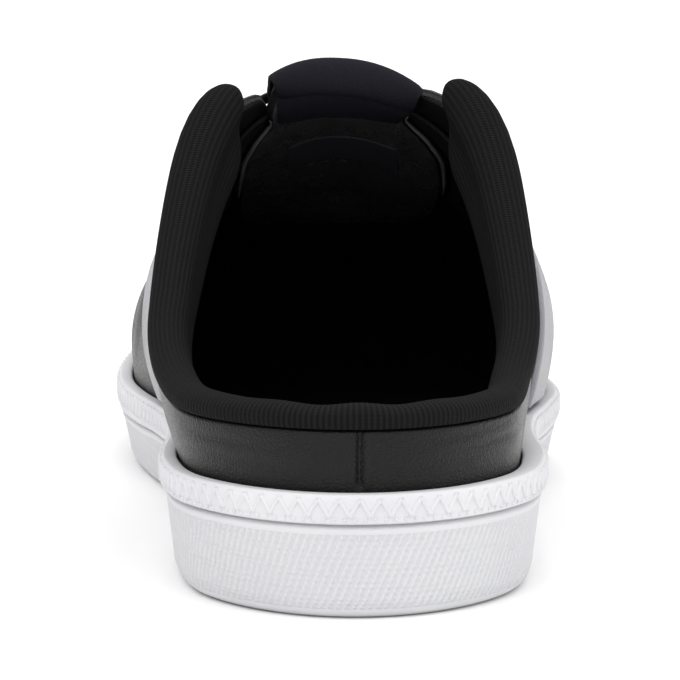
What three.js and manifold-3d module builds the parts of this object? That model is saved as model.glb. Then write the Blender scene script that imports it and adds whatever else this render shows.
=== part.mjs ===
// A right-foot sneaker mule: cup sole, hollow upper with a low heel, padded collar, tongue and laces.
// Millimetres. +Y runs from heel to toe, +X to the outer side of the foot, +Z up from the ground.
import * as THREE from 'three';
import { mergeVertices } from 'three/addons/utils/BufferGeometryUtils.js';
import Module from 'manifold-3d';

// Driving sizes of the sole
const shoeLength = 292;
const heelHalfWidth = 39.5;
const ballInner = 50;
const ballOuter = 55.5;
const heelRadius = 31;
const toeRadius = 23;
const toeTurn = 8.5;
const wallHeight = 26.2;
const toeSpring = 8;
const archLift = 1.6;
const bandHeight = 6.6;
const bandProud = 0.9;
const grooveDepth = 1.1;
const edgeRound = 4.2;
const wallTaper = 1.6;
const lipWidth = 3.2;
const heelBed = 16;
const ballBed = 9.5;
const lipRound = 0.7;
const reliefDrop = 0.9;
const reliefHeight = 4.2;
const reliefProud = 0.8;
const reliefTeeth = 160;
const treadDepth = 1.5;
const treadGroove = 3.4;
const treadMargin = 9;

// Driving sizes of the last and the upper
const instepHeight = 91;
const toeHeight = 49;
const heelRim = 38.3;
const lobeRim = 92;
const lobeAt = 0.402;
const throatTop = 18.2;
const throatBottom = 13;
const throatEnd = 187;
const backSpine = 70;
const spineSoft = 12;
const bellyRise = 0.3;
const upperWall = 2;
const skirtLift = 2.4;
const eyestayWidth = 17;
const eyestayStep = 1;
const eyestayFrom = 0.41;
const clearance = 0.3;

// Driving sizes of the smaller pieces
const insoleHeel = 7;
const insoleBall = 4.2;
const insoleCup = 2.4;
const insoleGap = 0.5;
const insoleRound = 1.4;
const collarThick = 8;
const collarHigh = 4.8;
const collarDrop = 11;
const collarFront = 0.397;
const collarStations = 40;
const collarEnd = 0.026;
const tongueWing = 26.5;
const tongueEdge = 2.2;
const tonguePad = 3.2;
const tonguePuff = 1.7;
const tongueTop = 123.5;
const tongueEnd = 206;
const tongueRise = 1.5;
const tongueShift = 1.9;
const tongueTilt = 0.75;
const tabDepth = 8.5;
const tabThick = 0.9;
const labelWidth = 30;
const labelHeight = 13;
const labelThick = 0.5;
const labelAt = 158;
const goreThick = 0.9;
const goreTop = 132.5;
const goreDrop = 15;
const panelThick = 0.9;
const panelFootY = 138;
const panelFootWidth = 24;
const panelFootLift = 2;
const panelHeadY = 196;
const panelHeadWidth = 26;
const laceCount = 5;
const laceFirst = 137;
const lacePitch = 12.5;
const laceWidth = 7;
const laceThick = 1.4;
const eyeletDiameter = 4;
const eyeletInset = 7.5;

// Plan of the heel half: shares of the length and of the heel's half width
const heelPlan = [
  { at: 0.08, inner: 0.848, outer: 0.875 },
  { at: 0.17, inner: 1.0, outer: 1.045 },
  { at: 0.3, inner: 0.975, outer: 1.07 },
];
// Plan of the forefoot: shares of the length and of the ball's two half widths
const ballPlan = [
  { at: 0.42, inner: 0.76, outer: 0.811 },
  { at: 0.52, inner: 0.83, outer: 0.91 },
  { at: 0.6, inner: 0.93, outer: 0.982 },
  { at: 0.68, inner: 1.0, outer: 0.982 },
  { at: 0.76, inner: 1.0, outer: 0.91 },
  { at: 0.85, inner: 0.92, outer: 0.73 },
  { at: 0.92, inner: 0.76, outer: 0.486 },
];
// Side of the sole: shares of toe spring, arch lift, wall height, band height, and of the way
// from the heel's bed to the ball's bed
const soleSide = [
  { at: 0.0, spring: 0.0, arch: 0.0, wall: 1.0, band: 1.0, bed: 0.0 },
  { at: 0.16, spring: 0.0, arch: 0.0, wall: 0.985, band: 1.0, bed: 0.02 },
  { at: 0.3, spring: 0.0, arch: 0.0, wall: 0.935, band: 1.04, bed: 0.25 },
  { at: 0.42, spring: 0.0, arch: 1.0, wall: 0.875, band: 1.08, bed: 0.62 },
  { at: 0.54, spring: 0.0, arch: 0.0, wall: 0.82, band: 1.12, bed: 0.92 },
  { at: 0.66, spring: 0.0, arch: 0.0, wall: 0.795, band: 1.16, bed: 1.0 },
  { at: 0.74, spring: 0.0, arch: 0.0, wall: 0.81, band: 1.18, bed: 1.0 },
  { at: 0.85, spring: 0.22, arch: 0.0, wall: 0.88, band: 1.2, bed: 0.85 },
  { at: 1.0, spring: 1.0, arch: 0.0, wall: 1.08, band: 1.2, bed: 0.1 },
];
// Crest of the last over the instep, as shares of the instep height
const instepCrest = [
  { at: 0.0, crest: 1.15 },
  { at: 0.24, crest: 1.23 },
  { at: 0.345, crest: 1.225 },
  { at: 0.39, crest: 1.18 },
  { at: 0.435, crest: 1.1 },
  { at: 0.514, crest: 1.0 },
  { at: 0.6, crest: 0.865 },
  { at: 0.685, crest: 0.75 },
];
// Crest of the last over the toes, as shares of the toe height
const toeCrest = [
  { at: 0.79, crest: 1.16 },
  { at: 0.925, crest: 1.0 },
  { at: 1.0, crest: 0.9 },
];
// Sections of the last: how far the wall swells past the sole's edge on each side, how much wider
// the lip of the sole is on the outer side, and how far the crest lies to the outer side, all as
// shares of the heel's half width, and how square the section is
const sections = [
  { at: 0.0, inner: -0.045, outer: -0.045, lip: 0.0, square: 2.6, shift: 0 },
  { at: 0.08, inner: -0.01, outer: -0.08, lip: 0.02, square: 2.6, shift: 0 },
  { at: 0.16, inner: 0.03, outer: -0.09, lip: 0.04, square: 2.6, shift: 0 },
  { at: 0.25, inner: 0.06, outer: -0.03, lip: 0.05, square: 2.6, shift: 0 },
  { at: 0.34, inner: 0.045, outer: -0.03, lip: 0.035, square: 2.6, shift: 0 },
  { at: 0.42, inner: 0.035, outer: -0.03, lip: 0.025, square: 2.5, shift: 0 },
  { at: 0.52, inner: -0.005, outer: -0.045, lip: 0.01, square: 2.35, shift: 0.025 },
  { at: 0.6, inner: -0.06, outer: -0.045, lip: 0.0, square: 2.3, shift: 0.04 },
  { at: 0.68, inner: -0.07, outer: -0.04, lip: 0.0, square: 2.35, shift: 0.04 },
  { at: 0.8, inner: -0.05, outer: -0.04, lip: 0.0, square: 2.8, shift: 0.04 },
  { at: 0.92, inner: -0.04, outer: -0.035, lip: 0.0, square: 3.8, shift: 0.04 },
  { at: 1.0, inner: -0.035, outer: -0.035, lip: 0.0, square: 4.4, shift: 0.04 },
];
// Edge of the leather under the collar: share of the way up from the heel rim to the lobe rim
const rimSide = [
  { at: 0.0, up: 0.0 },
  { at: 0.1, up: 0.0 },
  { at: 0.15, up: 0.03 },
  { at: 0.195, up: 0.1 },
  { at: 0.24, up: 0.22 },
  { at: 0.29, up: 0.42 },
  { at: 0.342, up: 0.71 },
  { at: 0.38, up: 0.93 },
  { at: 0.402, up: 1.0 },
];
// Half gap between the eyestays: share of the throat's half width at the top, then at the bottom
const throatSide = [
  { at: 0.402, top: 1.68, bottom: 0 },
  { at: 0.412, top: 1.4, bottom: 0 },
  { at: 0.424, top: 1.12, bottom: 0 },
  { at: 0.436, top: 0.98, bottom: 0 },
  { at: 0.53, top: 0.45, bottom: 0.55 },
  { at: 0.64, top: 0.0, bottom: 1.0 },
  { at: 1.0, top: 0.0, bottom: 1.0 },
];
// Collar roll: shares of its thickness and of its height on each side, and how far it stands out
// over the leather as a share of its thickness
const rollSide = [
  { at: 0.0, thick: 0.95, inner: 0.95, outer: 0.95, proud: 0.0 },
  { at: 0.14, thick: 1.0, inner: 1.0, outer: 1.0, proud: 0.0 },
  { at: 0.24, thick: 1.07, inner: 1.22, outer: 1.22, proud: 0.08 },
  { at: 0.31, thick: 1.2, inner: 1.6, outer: 1.6, proud: 0.18 },
  { at: 0.36, thick: 1.38, inner: 2.15, outer: 2.3, proud: 0.28 },
  { at: 0.4, thick: 1.58, inner: 2.95, outer: 3.4, proud: 0.36 },
];
// Section of the roll over the leather's edge: shares of its thickness outward, of its height up
const rollTop = [
  { out: 0.02, up: 0 },
  { out: 0.11, up: 0.3 },
  { out: 0.06, up: 0.68 },
  { out: -0.16, up: 0.94 },
  { out: -0.5, up: 1.0 },
  { out: -0.8, up: 0.74 },
  { out: -0.94, up: 0.25 },
];
// Section of the roll inside the leather: shares of its padding inward, of its drop down
const rollInside = [
  { inward: 0.9, down: 0.3 },
  { inward: 0.55, down: 0.75 },
];
// Rounded ends of the roll: shares of the end's length, where its sections lie
const rollEnds = [0, 0.15, 0.46, 1];
// Lower edge of the sole: shares of its round, inward and up
const edgeCurve = [
  { inward: 2.0, up: 0.0 },
  { inward: 0.8, up: 0.0 },
  { inward: 0.28, up: 0.3 },
  { inward: 0.0, up: 1.0 },
];
// Groove under the sole's band: shares of the band's standing out, and of the groove's depth inward
// and down
const grooveCurve = [
  { band: 1.0, inward: 0.0, down: 1.6 },
  { band: 0.6, inward: 0.0, down: 0.8 },
  { band: 1.0, inward: 1.0, down: 0.0 },
  { band: 0.0, inward: 0.0, down: -0.6 },
];
// Top of the insole: inset from its edge and height, as shares of its cup
const cupCurve = [
  { inset: 0.0, up: 0.8 },
  { inset: 0.5, up: 1.0 },
  { inset: 2.5, up: 0.35 },
  { inset: 5.4, up: 0.0 },
];
// Cross grooves of the tread, as shares of the length
const treadShares = [0.08, 0.13, 0.18, 0.23, 0.56, 0.605, 0.65, 0.695, 0.74, 0.785];
// Rings of the quarter from its foot to the eyestay, as shares of the way
const quarterRings = [0, 0.12, 0.26, 0.42, 0.6, 0.8, 1];
// Lace: distance from the eyelet in eyelet insets, height over the eyestay in lace thicknesses, and
// share of its width
const laceStops = [
  { away: 0, lift: -1.9, wide: 0.34 },
  { away: 0, lift: -0.3, wide: 0.34 },
  { away: 0.12, lift: 0.95, wide: 0.45 },
  { away: 0.37, lift: 0.65, wide: 0.85 },
  { away: 0.61, lift: 0.5, wide: 1 },
];
// Section of a lace: shares of its half width and half thickness
const laceSection = [[-1, 0], [-0.8, 1], [0.8, 1], [1, 0], [0.8, -1], [-0.8, -1]];
// Tongue: half width as a share of its wing width, rise of its top end as a share of tongueRise,
// and lean to the outer side as a share of tongueShift
const tongueSide = [
  { along: 0.0, wide: 0.665, rise: 1.0, lean: 1.0 },
  { along: 0.04, wide: 0.635, rise: 0.7, lean: 0.45 },
  { along: 0.08, wide: 0.61, rise: 0.4, lean: 0.1 },
  { along: 0.15, wide: 0.61, rise: 0.1, lean: 0.0 },
  { along: 0.24, wide: 0.86, rise: 0.02, lean: 0.3 },
  { along: 0.35, wide: 1.0, rise: 0.0, lean: 0.6 },
  { along: 0.8, wide: 1.0, rise: 0.0, lean: 0.3 },
  { along: 1.0, wide: 0.86, rise: 0.0, lean: 0.0 },
];

// Values spread evenly between two others
function spread(from, to, count) {
  return Array.from({ length: count + 1 }, (_, i) => from + (to - from) * i / count);
}

// Smooth curve through one column of a table
function read(rows, name, at, key = 'at') {
  const last = rows.length - 1;
  if (at <= rows[0][key]) return rows[0][name];
  if (at >= rows[last][key]) return rows[last][name];
  let i = 0;
  while (at > rows[i + 1][key]) i += 1;
  const slope = (j) => {
    const a = Math.max(j - 1, 0);
    const b = Math.min(j + 1, last);
    return (rows[b][name] - rows[a][name]) / (rows[b][key] - rows[a][key]);
  };
  const span = rows[i + 1][key] - rows[i][key];
  const t = (at - rows[i][key]) / span;
  const t2 = t * t;
  const t3 = t2 * t;
  return (2 * t3 - 3 * t2 + 1) * rows[i][name] + (t3 - 2 * t2 + t) * span * slope(i)
    + (3 * t2 - 2 * t3) * rows[i + 1][name] + (t3 - t2) * span * slope(i + 1);
}

// Plan of the sole. The turn goes round the shoe: 0 at the heel, half a circle at the toe,
// with the outer side first.
const halfTurn = (turn) => (turn <= Math.PI ? turn : 2 * Math.PI - turn);
const shareAt = (turn) => (1 - Math.cos(turn)) / 2;
const turnAt = (share) => Math.acos(1 - 2 * share);

const planRows = [{ half: 0, swell: Math.sqrt(heelRadius * shoeLength / 2), centre: 0 }];
for (const [rows, innerSize, outerSize] of [
  [heelPlan, heelHalfWidth, heelHalfWidth],
  [ballPlan, ballInner, ballOuter],
]) {
  for (const row of rows) {
    const inner = row.inner * innerSize;
    const outer = row.outer * outerSize;
    const half = turnAt(row.at);
    planRows.push({ half, swell: (inner + outer) / 2 / Math.sin(half), centre: (outer - inner) / 2 });
  }
}
planRows.push({ half: Math.PI, swell: Math.sqrt(toeRadius * shoeLength / 2), centre: -toeTurn });

function planPoint(turn) {
  const half = halfTurn(turn);
  const x = read(planRows, 'centre', half, 'half') + read(planRows, 'swell', half, 'half') * Math.sin(turn);
  return new THREE.Vector2(x, shoeLength * shareAt(half));
}

function planNormal(turn) {
  const step = 0.002;
  const along = planPoint(turn + step).sub(planPoint(turn - step)).normalize();
  return new THREE.Vector2(along.y, -along.x);
}

const planOffset = (turn, outward) => planPoint(turn).addScaledVector(planNormal(turn), outward);

// Turns that lie evenly along the sole's edge
function evenTurns(count) {
  const fine = 2400;
  const lengths = [0];
  for (let i = 1; i <= fine; i += 1) {
    const a = planPoint((i - 1) / fine * 2 * Math.PI);
    const b = planPoint(i / fine * 2 * Math.PI);
    lengths.push(lengths[i - 1] + a.distanceTo(b));
  }
  const turns = [];
  let i = 0;
  for (let k = 0; k < count; k += 1) {
    const goal = lengths[fine] * k / count;
    while (lengths[i + 1] <= goal) i += 1;
    const part = (goal - lengths[i]) / (lengths[i + 1] - lengths[i]);
    turns.push((i + part) / fine * 2 * Math.PI);
  }
  return turns;
}

// Side of the sole
const shareOf = (y) => y / shoeLength;
const underAt = (share) => toeSpring * Math.max(0, read(soleSide, 'spring', share))
  + archLift * Math.max(0, read(soleSide, 'arch', share));
const wallTopAt = (share) => wallHeight * read(soleSide, 'wall', share);
const bandAt = (share) => bandHeight * read(soleSide, 'band', share);
const bedAt = (share) => heelBed + (ballBed - heelBed) * read(soleSide, 'bed', share);

// Crest of the last
const crestRows = [
  ...instepCrest.map((row) => ({ at: row.at, crest: row.crest * instepHeight })),
  ...toeCrest.map((row) => ({ at: row.at, crest: row.crest * toeHeight })),
];
const softLeast = (a, b, soft) => (a + b - Math.hypot(a - b, soft)) / 2;
const softMost = (a, b, soft) => (a + b + Math.hypot(a - b, soft)) / 2;

function spinePoint(turn) {
  const y = softMost(backSpine, softLeast(planPoint(turn).y, throatEnd, spineSoft), spineSoft);
  return new THREE.Vector2(heelHalfWidth * read(sections, 'shift', shareOf(y)), y);
}

// Surface of the last: the rise goes from 0 at the sole to 1 at the crest
const lipAt = (turn) => lipWidth
  + (turn < Math.PI ? heelHalfWidth * read(sections, 'lip', shareAt(halfTurn(turn))) : 0);
const tuckAt = (turn) => lipAt(turn) + clearance;

function lastPoint(turn, rise) {
  const share = shareAt(halfTurn(turn));
  const square = 2 / read(sections, 'square', share);
  const quarter = rise * Math.PI / 2;
  const inward = Math.cos(quarter) ** square;
  const upward = Math.sin(quarter) ** square;
  const flare = heelHalfWidth * read(sections, turn <= Math.PI ? 'outer' : 'inner', share);
  const foot = planOffset(turn, -tuckAt(turn));
  const belly = planOffset(turn, flare);
  const plan = spinePoint(turn).lerp(belly, inward);
  const pull = (1 - Math.min(1, upward / bellyRise)) ** 2;
  plan.addScaledVector(foot.sub(belly), pull);
  const low = wallTopAt(share);
  const crest = read(crestRows, 'crest', shareOf(plan.y));
  return new THREE.Vector3(plan.x, plan.y, low + (crest - low) * upward);
}

function lastNormal(turn, rise) {
  const step = 0.01;
  const low = Math.max(rise - step, 0.0005);
  const high = Math.min(rise + step, 0.999);
  const up = lastPoint(turn, high).sub(lastPoint(turn, low));
  const along = lastPoint(turn + step, rise).sub(lastPoint(turn - step, rise));
  return along.cross(up).normalize();
}

const slightTurn = 0.01;
function lastOffset(turn, rise, outward) {
  return lastPoint(turn, rise).addScaledVector(lastNormal(turn, rise), outward);
}

// The rise at which a quantity that grows with it reaches a goal
function findRise(grows, goal, low = 0, high = 1) {
  let a = low;
  let b = high;
  for (let i = 0; i < 26; i += 1) {
    const middle = (a + b) / 2;
    if (grows(middle) < goal) a = middle;
    else b = middle;
  }
  return (a + b) / 2;
}

// Top edge of the leather: under the collar by its height, along the throat by its distance
// from the spine
const throatGap = (share) => throatTop * read(throatSide, 'top', share)
  + throatBottom * read(throatSide, 'bottom', share);

function gapRise(turn, gap) {
  const spine = spinePoint(turn);
  const closeness = (rise) => {
    const point = lastPoint(turn, rise);
    return -Math.hypot(point.x - spine.x, point.y - spine.y);
  };
  return findRise(closeness, -gap);
}

function rimRise(turn) {
  const share = shareAt(halfTurn(turn));
  if (share > lobeAt) return gapRise(turn, throatGap(share));
  const goal = heelRim + (lobeRim - heelRim) * read(rimSide, 'up', share);
  return findRise((rise) => lastPoint(turn, rise).z, goal);
}

// The rise that lies a distance below another one, along the surface
function riseBelow(turn, rise, drop) {
  const from = lastPoint(turn, rise);
  return findRise((lower) => -lastPoint(turn, lower).distanceTo(from), -drop, 0, rise);
}

// The rise at a height over the sole
function riseAbove(turn, height) {
  return findRise((rise) => lastPoint(turn, rise).z, lastPoint(turn, 0).z + height);
}

// Closed bodies from rows of points
function body(points, faces) {
  const flat = new Float32Array(points.length * 3);
  points.forEach((point, i) => point.toArray(flat, i * 3));
  let volume = 0;
  for (const [a, b, c] of faces) {
    volume += points[a].dot(points[b].clone().cross(points[c]));
  }
  const facing = volume > 0 ? faces : faces.map(([a, b, c]) => [a, c, b]);
  const geometry = new THREE.BufferGeometry();
  geometry.setAttribute('position', new THREE.BufferAttribute(flat, 3));
  geometry.setIndex(facing.flat());
  return geometry;
}

function quad(faces, a, b, c, d) {
  faces.push([a, b, c], [a, c, d]);
}

// Rings joined one to the next. A shell joins its last ring to its first, other bodies are capped
// across, from each point to the one that faces it.
function ringBody(rings, shell, zigzag = -1) {
  const points = rings.flat();
  const starts = [];
  let start = 0;
  for (const ring of rings) {
    starts.push(start);
    start += ring.length;
  }
  const faces = [];
  const count = rings[0].length;
  const joins = shell ? rings.length : rings.length - 1;
  for (let r = 0; r < joins; r += 1) {
    const next = (r + 1) % rings.length;
    const low = starts[r];
    const high = starts[next];
    if (next === zigzag) fan(faces, low, count, high, rings[next].length, false);
    else if (r === zigzag) fan(faces, high, count, low, rings[r].length, true);
    else {
      for (let k = 0; k < count; k += 1) {
        const l = (k + 1) % count;
        quad(faces, low + k, low + l, high + l, high + k);
      }
    }
  }
  if (!shell) {
    capAcross(faces, starts[0], count, true);
    capAcross(faces, starts[rings.length - 1], count, false);
  }
  return body(points, faces);
}

// A coarse ring joined to a fine one that has four points for each of its own
function fan(faces, coarse, count, fine, fineCount, flipped) {
  const add = (a, b, c) => faces.push(flipped ? [a, c, b] : [a, b, c]);
  for (let k = 0; k < count; k += 1) {
    const here = coarse + k;
    const next = coarse + (k + 1) % count;
    const at = (i) => fine + (4 * k + i) % fineCount;
    add(here, at(1), at(0));
    add(here, at(2), at(1));
    add(here, next, at(2));
    add(next, at(3), at(2));
    add(next, at(4), at(3));
  }
}

function capAcross(faces, start, count, under) {
  const half = count / 2;
  for (let k = 0; k < half; k += 1) {
    const corners = [start + k, start + k + 1, start + count - k - 1, start + (count - k) % count];
    if (k === 0) corners.pop();
    if (k === half - 1) corners.splice(2, 1);
    if (under) corners.reverse();
    for (let c = 1; c < corners.length - 1; c += 1) faces.push([corners[0], corners[c], corners[c + 1]]);
  }
}

// A sheet: two matching grids of points joined round their edge
function sheetBody(top, under) {
  const rows = top.length;
  const columns = top[0].length;
  const points = [...top.flat(), ...under.flat()];
  const back = rows * columns;
  const id = (i, j) => i * columns + j;
  const faces = [];
  for (let i = 0; i < rows - 1; i += 1) {
    for (let j = 0; j < columns - 1; j += 1) {
      quad(faces, id(i, j), id(i, j + 1), id(i + 1, j + 1), id(i + 1, j));
      quad(faces, back + id(i, j), back + id(i + 1, j), back + id(i + 1, j + 1), back + id(i, j + 1));
    }
  }
  const edge = [];
  for (let j = 0; j < columns - 1; j += 1) edge.push(id(0, j));
  for (let i = 0; i < rows - 1; i += 1) edge.push(id(i, columns - 1));
  for (let j = columns - 1; j > 0; j -= 1) edge.push(id(rows - 1, j));
  for (let i = rows - 1; i > 0; i -= 1) edge.push(id(i, 0));
  edge.forEach((a, k) => {
    const b = edge[(k + 1) % edge.length];
    quad(faces, b, a, back + a, back + b);
  });
  return body(points, faces);
}

// A closed section divided into triangles, seen flat in its own plane
function sectionFaces(ring) {
  const normal = new THREE.Vector3();
  ring.forEach((point, k) => normal.add(point.clone().cross(ring[(k + 1) % ring.length])));
  normal.normalize();
  const aside = ring[1].clone().sub(ring[0]).normalize();
  const upward = normal.clone().cross(aside);
  const flat = ring.map((point) => new THREE.Vector2(point.dot(aside), point.dot(upward)));
  return THREE.ShapeUtils.triangulateShape(flat, []);
}

// A bar: closed sections joined one to the next, with its two ends closed
function barBody(sectionRings) {
  const points = sectionRings.flat();
  const count = sectionRings[0].length;
  const faces = [];
  for (let r = 0; r < sectionRings.length - 1; r += 1) {
    for (let k = 0; k < count; k += 1) {
      const l = (k + 1) % count;
      quad(faces, r * count + k, r * count + l, (r + 1) * count + l, (r + 1) * count + k);
    }
  }
  const last = (sectionRings.length - 1) * count;
  for (const [a, b, c] of sectionFaces(sectionRings[0])) faces.push([c, b, a]);
  for (const [a, b, c] of sectionFaces(sectionRings[sectionRings.length - 1])) {
    faces.push([last + a, last + b, last + c]);
  }
  return body(points, faces);
}

// Solids for joining and cutting
const wasm = await Module();
wasm.setup();

function toSolid(geometry) {
  const bare = geometry.clone();
  bare.deleteAttribute('normal');
  bare.deleteAttribute('uv');
  const merged = mergeVertices(bare, 1e-4);
  return new wasm.Manifold(new wasm.Mesh({
    numProp: 3,
    vertProperties: new Float32Array(merged.attributes.position.array),
    triVerts: new Uint32Array(merged.index.array),
  }));
}

function toGeometry(solid) {
  const mesh = solid.getMesh();
  const geometry = new THREE.BufferGeometry();
  geometry.setAttribute('position', new THREE.BufferAttribute(mesh.vertProperties, 3));
  geometry.setIndex(new THREE.BufferAttribute(mesh.triVerts, 1));
  return geometry;
}

// Cup sole
const edgeColumns = 2 * Math.round(reliefTeeth / 4);
const always = (value) => () => value;

function soleRing(turns, inset, height) {
  return turns.map((turn, i) => {
    const plan = planOffset(turn, -inset(turn));
    return new THREE.Vector3(plan.x, plan.y, height(shareAt(halfTurn(turn)), i));
  });
}

function cupSole() {
  const turns = evenTurns(edgeColumns);
  const toothTurns = evenTurns(edgeColumns * 4);
  const lipTop = (share) => wallTopAt(share) - lipRound;
  const rings = [
    ...edgeCurve.map((row) => soleRing(turns, always(bandProud + wallTaper + edgeRound * row.inward),
      (share) => underAt(share) + edgeRound * row.up)),
    ...grooveCurve.map((row) => soleRing(turns, always(bandProud * row.band + grooveDepth * row.inward),
      (share) => wallTopAt(share) - bandAt(share) - grooveDepth * row.down)),
    soleRing(toothTurns, always(-reliefProud), (share, i) => {
      const top = wallTopAt(share) - reliefDrop;
      return i % 2 === 0 ? top - reliefHeight : top;
    }),
    soleRing(turns, always(0), lipTop),
    soleRing(turns, always(lipRound), wallTopAt),
    soleRing(turns, (turn) => lipAt(turn) - lipRound, wallTopAt),
    soleRing(turns, lipAt, lipTop),
    soleRing(turns, lipAt, (share) => bedAt(share) + lipRound),
    soleRing(turns, (turn) => lipAt(turn) + lipRound, bedAt),
  ];
  let solid = toSolid(ringBody(rings, false, edgeCurve.length + grooveCurve.length));
  for (const share of treadShares) {
    solid = solid.subtract(toSolid(treadCut(share)));
  }
  return toGeometry(solid);
}

function treadCut(share) {
  const turn = turnAt(share);
  const outer = planPoint(turn);
  const inner = planPoint(2 * Math.PI - turn);
  const width = outer.x - inner.x - 2 * treadMargin;
  const cut = new THREE.BoxGeometry(width, treadGroove, treadDepth * 4);
  const low = underAt(share) - treadDepth;
  return cut.translate((outer.x + inner.x) / 2, outer.y, low);
}

// Insole
function insole() {
  const turns = evenTurns(edgeColumns);
  const edge = (more) => (turn) => tuckAt(turn) + upperWall + insoleGap + more;
  const foot = (share) => bedAt(share) + clearance;
  const top = (share) => bedAt(share) + insoleHeel + (insoleBall - insoleHeel) * read(soleSide, 'bed', share);
  const rings = [
    soleRing(turns, edge(insoleRound), foot),
    soleRing(turns, edge(0), (share) => foot(share) + insoleRound),
    ...cupCurve.map((row) => soleRing(turns, edge(row.inset * insoleCup),
      (share) => top(share) + row.up * insoleCup)),
  ];
  return ringBody(rings, false);
}

// Upper
function upperTurns() {
  const keys = [...rimSide.slice(-2), ...throatSide.slice(0, 4)].map((row) => turnAt(row.at));
  const corners = [...keys, ...keys.map((turn) => 2 * Math.PI - turn)];
  const near = 0.02;
  const isClear = (turn) => corners.every((corner) => Math.abs(corner - turn) > near);
  const even = evenTurns(edgeColumns).filter(isClear);
  return [...even, ...corners].sort((a, b) => a - b);
}

// Rises that divide the surface evenly between two rises
function evenRises(turn, from, to, parts) {
  const fine = 24;
  const crowd = 1.4;
  const rises = [];
  const lengths = [];
  for (let i = 0; i <= fine; i += 1) {
    rises.push(from + (to - from) * (i / fine) ** crowd);
    const step = i === 0 ? 0 : lastPoint(turn, rises[i]).distanceTo(lastPoint(turn, rises[i - 1]));
    lengths.push(i === 0 ? 0 : lengths[i - 1] + step);
  }
  return parts.map((part) => {
    const goal = part * lengths[fine];
    let i = 0;
    while (i < fine - 1 && lengths[i + 1] < goal) i += 1;
    const t = (goal - lengths[i]) / (lengths[i + 1] - lengths[i]);
    return rises[i] + (rises[i + 1] - rises[i]) * t;
  });
}

function footPoint(turn, inset) {
  const plan = planOffset(turn, -inset);
  return new THREE.Vector3(plan.x, plan.y, bedAt(shareAt(halfTurn(turn))) + skirtLift);
}

// Most share of the quarter's height that the eyestay takes, and the slope of its step
const mostBand = 0.4;
const bandSlope = 0.7;
const onEyestay = (turn) => shareAt(halfTurn(turn)) >= eyestayFrom;

function upperColumn(turn) {
  const rim = rimRise(turn);
  const height = lastPoint(turn, 0).distanceTo(lastPoint(turn, rim));
  const band = Math.min(eyestayWidth, height * mostBand);
  const bandFoot = riseBelow(turn, rim, band);
  const bandStep = riseBelow(turn, rim, band - eyestayStep * bandSlope);
  const bandMiddle = riseBelow(turn, rim, band / 2);
  const low = evenRises(turn, 0, bandFoot, quarterRings);
  const step = onEyestay(turn) ? eyestayStep : 0;
  const outside = [
    footPoint(turn, tuckAt(turn)),
    ...low.map((rise) => lastPoint(turn, rise)),
    lastOffset(turn, bandStep, step),
    lastOffset(turn, bandMiddle, step),
    lastOffset(turn, rim, step),
  ];
  const inside = [
    ...[rim, bandMiddle, ...[...low].reverse()].map((rise) => lastOffset(turn, rise, -upperWall)),
    footPoint(turn, tuckAt(turn) + upperWall),
  ];
  return [...outside, ...inside];
}

// Middle of an eyelet, and the way out of the leather there
const laceY = (index) => laceFirst + lacePitch * index;

function eyelet(index, side) {
  const share = shareOf(laceY(index));
  const turn = side > 0 ? turnAt(share) : 2 * Math.PI - turnAt(share);
  return { turn, rise: gapRise(turn, throatGap(share) + eyeletInset) };
}

function eyeletCut(index, side) {
  const { turn, rise } = eyelet(index, side);
  const sides = 8;
  const length = 4 * (upperWall + eyestayStep);
  const cut = new THREE.CylinderGeometry(eyeletDiameter / 2, eyeletDiameter / 2, length, sides);
  const out = lastNormal(turn, rise);
  cut.applyQuaternion(new THREE.Quaternion().setFromUnitVectors(new THREE.Vector3(0, 1, 0), out));
  const middle = lastPoint(turn, rise);
  return cut.translate(middle.x, middle.y, middle.z);
}

function upper() {
  const columns = upperTurns().map(upperColumn);
  const rings = columns[0].map((_, r) => columns.map((column) => column[r]));
  let solid = toSolid(ringBody(rings, true));
  for (let index = 0; index < laceCount; index += 1) {
    for (const side of [-1, 1]) solid = solid.subtract(toSolid(eyeletCut(index, side)));
  }
  return toGeometry(solid);
}

// Collar roll
const rollBack = upperWall + 3 * clearance;
const rollFoot = 2.5 * clearance;
const rollHem = 1.2;
const leastPad = 1.5;
const leastScale = 0.35;

function rollSection(turn, scale) {
  const share = shareAt(halfTurn(turn));
  const thick = collarThick * read(rollSide, 'thick', share) * scale;
  const high = collarHigh * read(rollSide, turn <= Math.PI ? 'outer' : 'inner', share) * scale;
  const drop = collarDrop * scale;
  const proud = read(rollSide, 'proud', share) * thick;
  const rim = rimRise(turn);
  const edge = lastPoint(turn, rim);
  const out = lastNormal(turn, rim);
  const up = edge.clone().sub(lastPoint(turn, riseBelow(turn, rim, 1))).normalize();
  const pad = Math.max(thick - rollBack, leastPad);
  const below = (down, inward) => lastOffset(turn, riseBelow(turn, rim, down * drop), -rollBack - inward);
  return [
    ...rollTop.map((row) => edge.clone().addScaledVector(out, row.out * thick + proud)
      .addScaledVector(up, rollFoot + row.up * high)),
    ...rollInside.map((row) => below(row.down, row.inward * pad)),
    below(1, rollHem * scale),
    below(1, 0),
    below(0.5, 0),
    lastOffset(turn, rim, -rollBack).addScaledVector(up, rollFoot),
  ];
}

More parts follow.
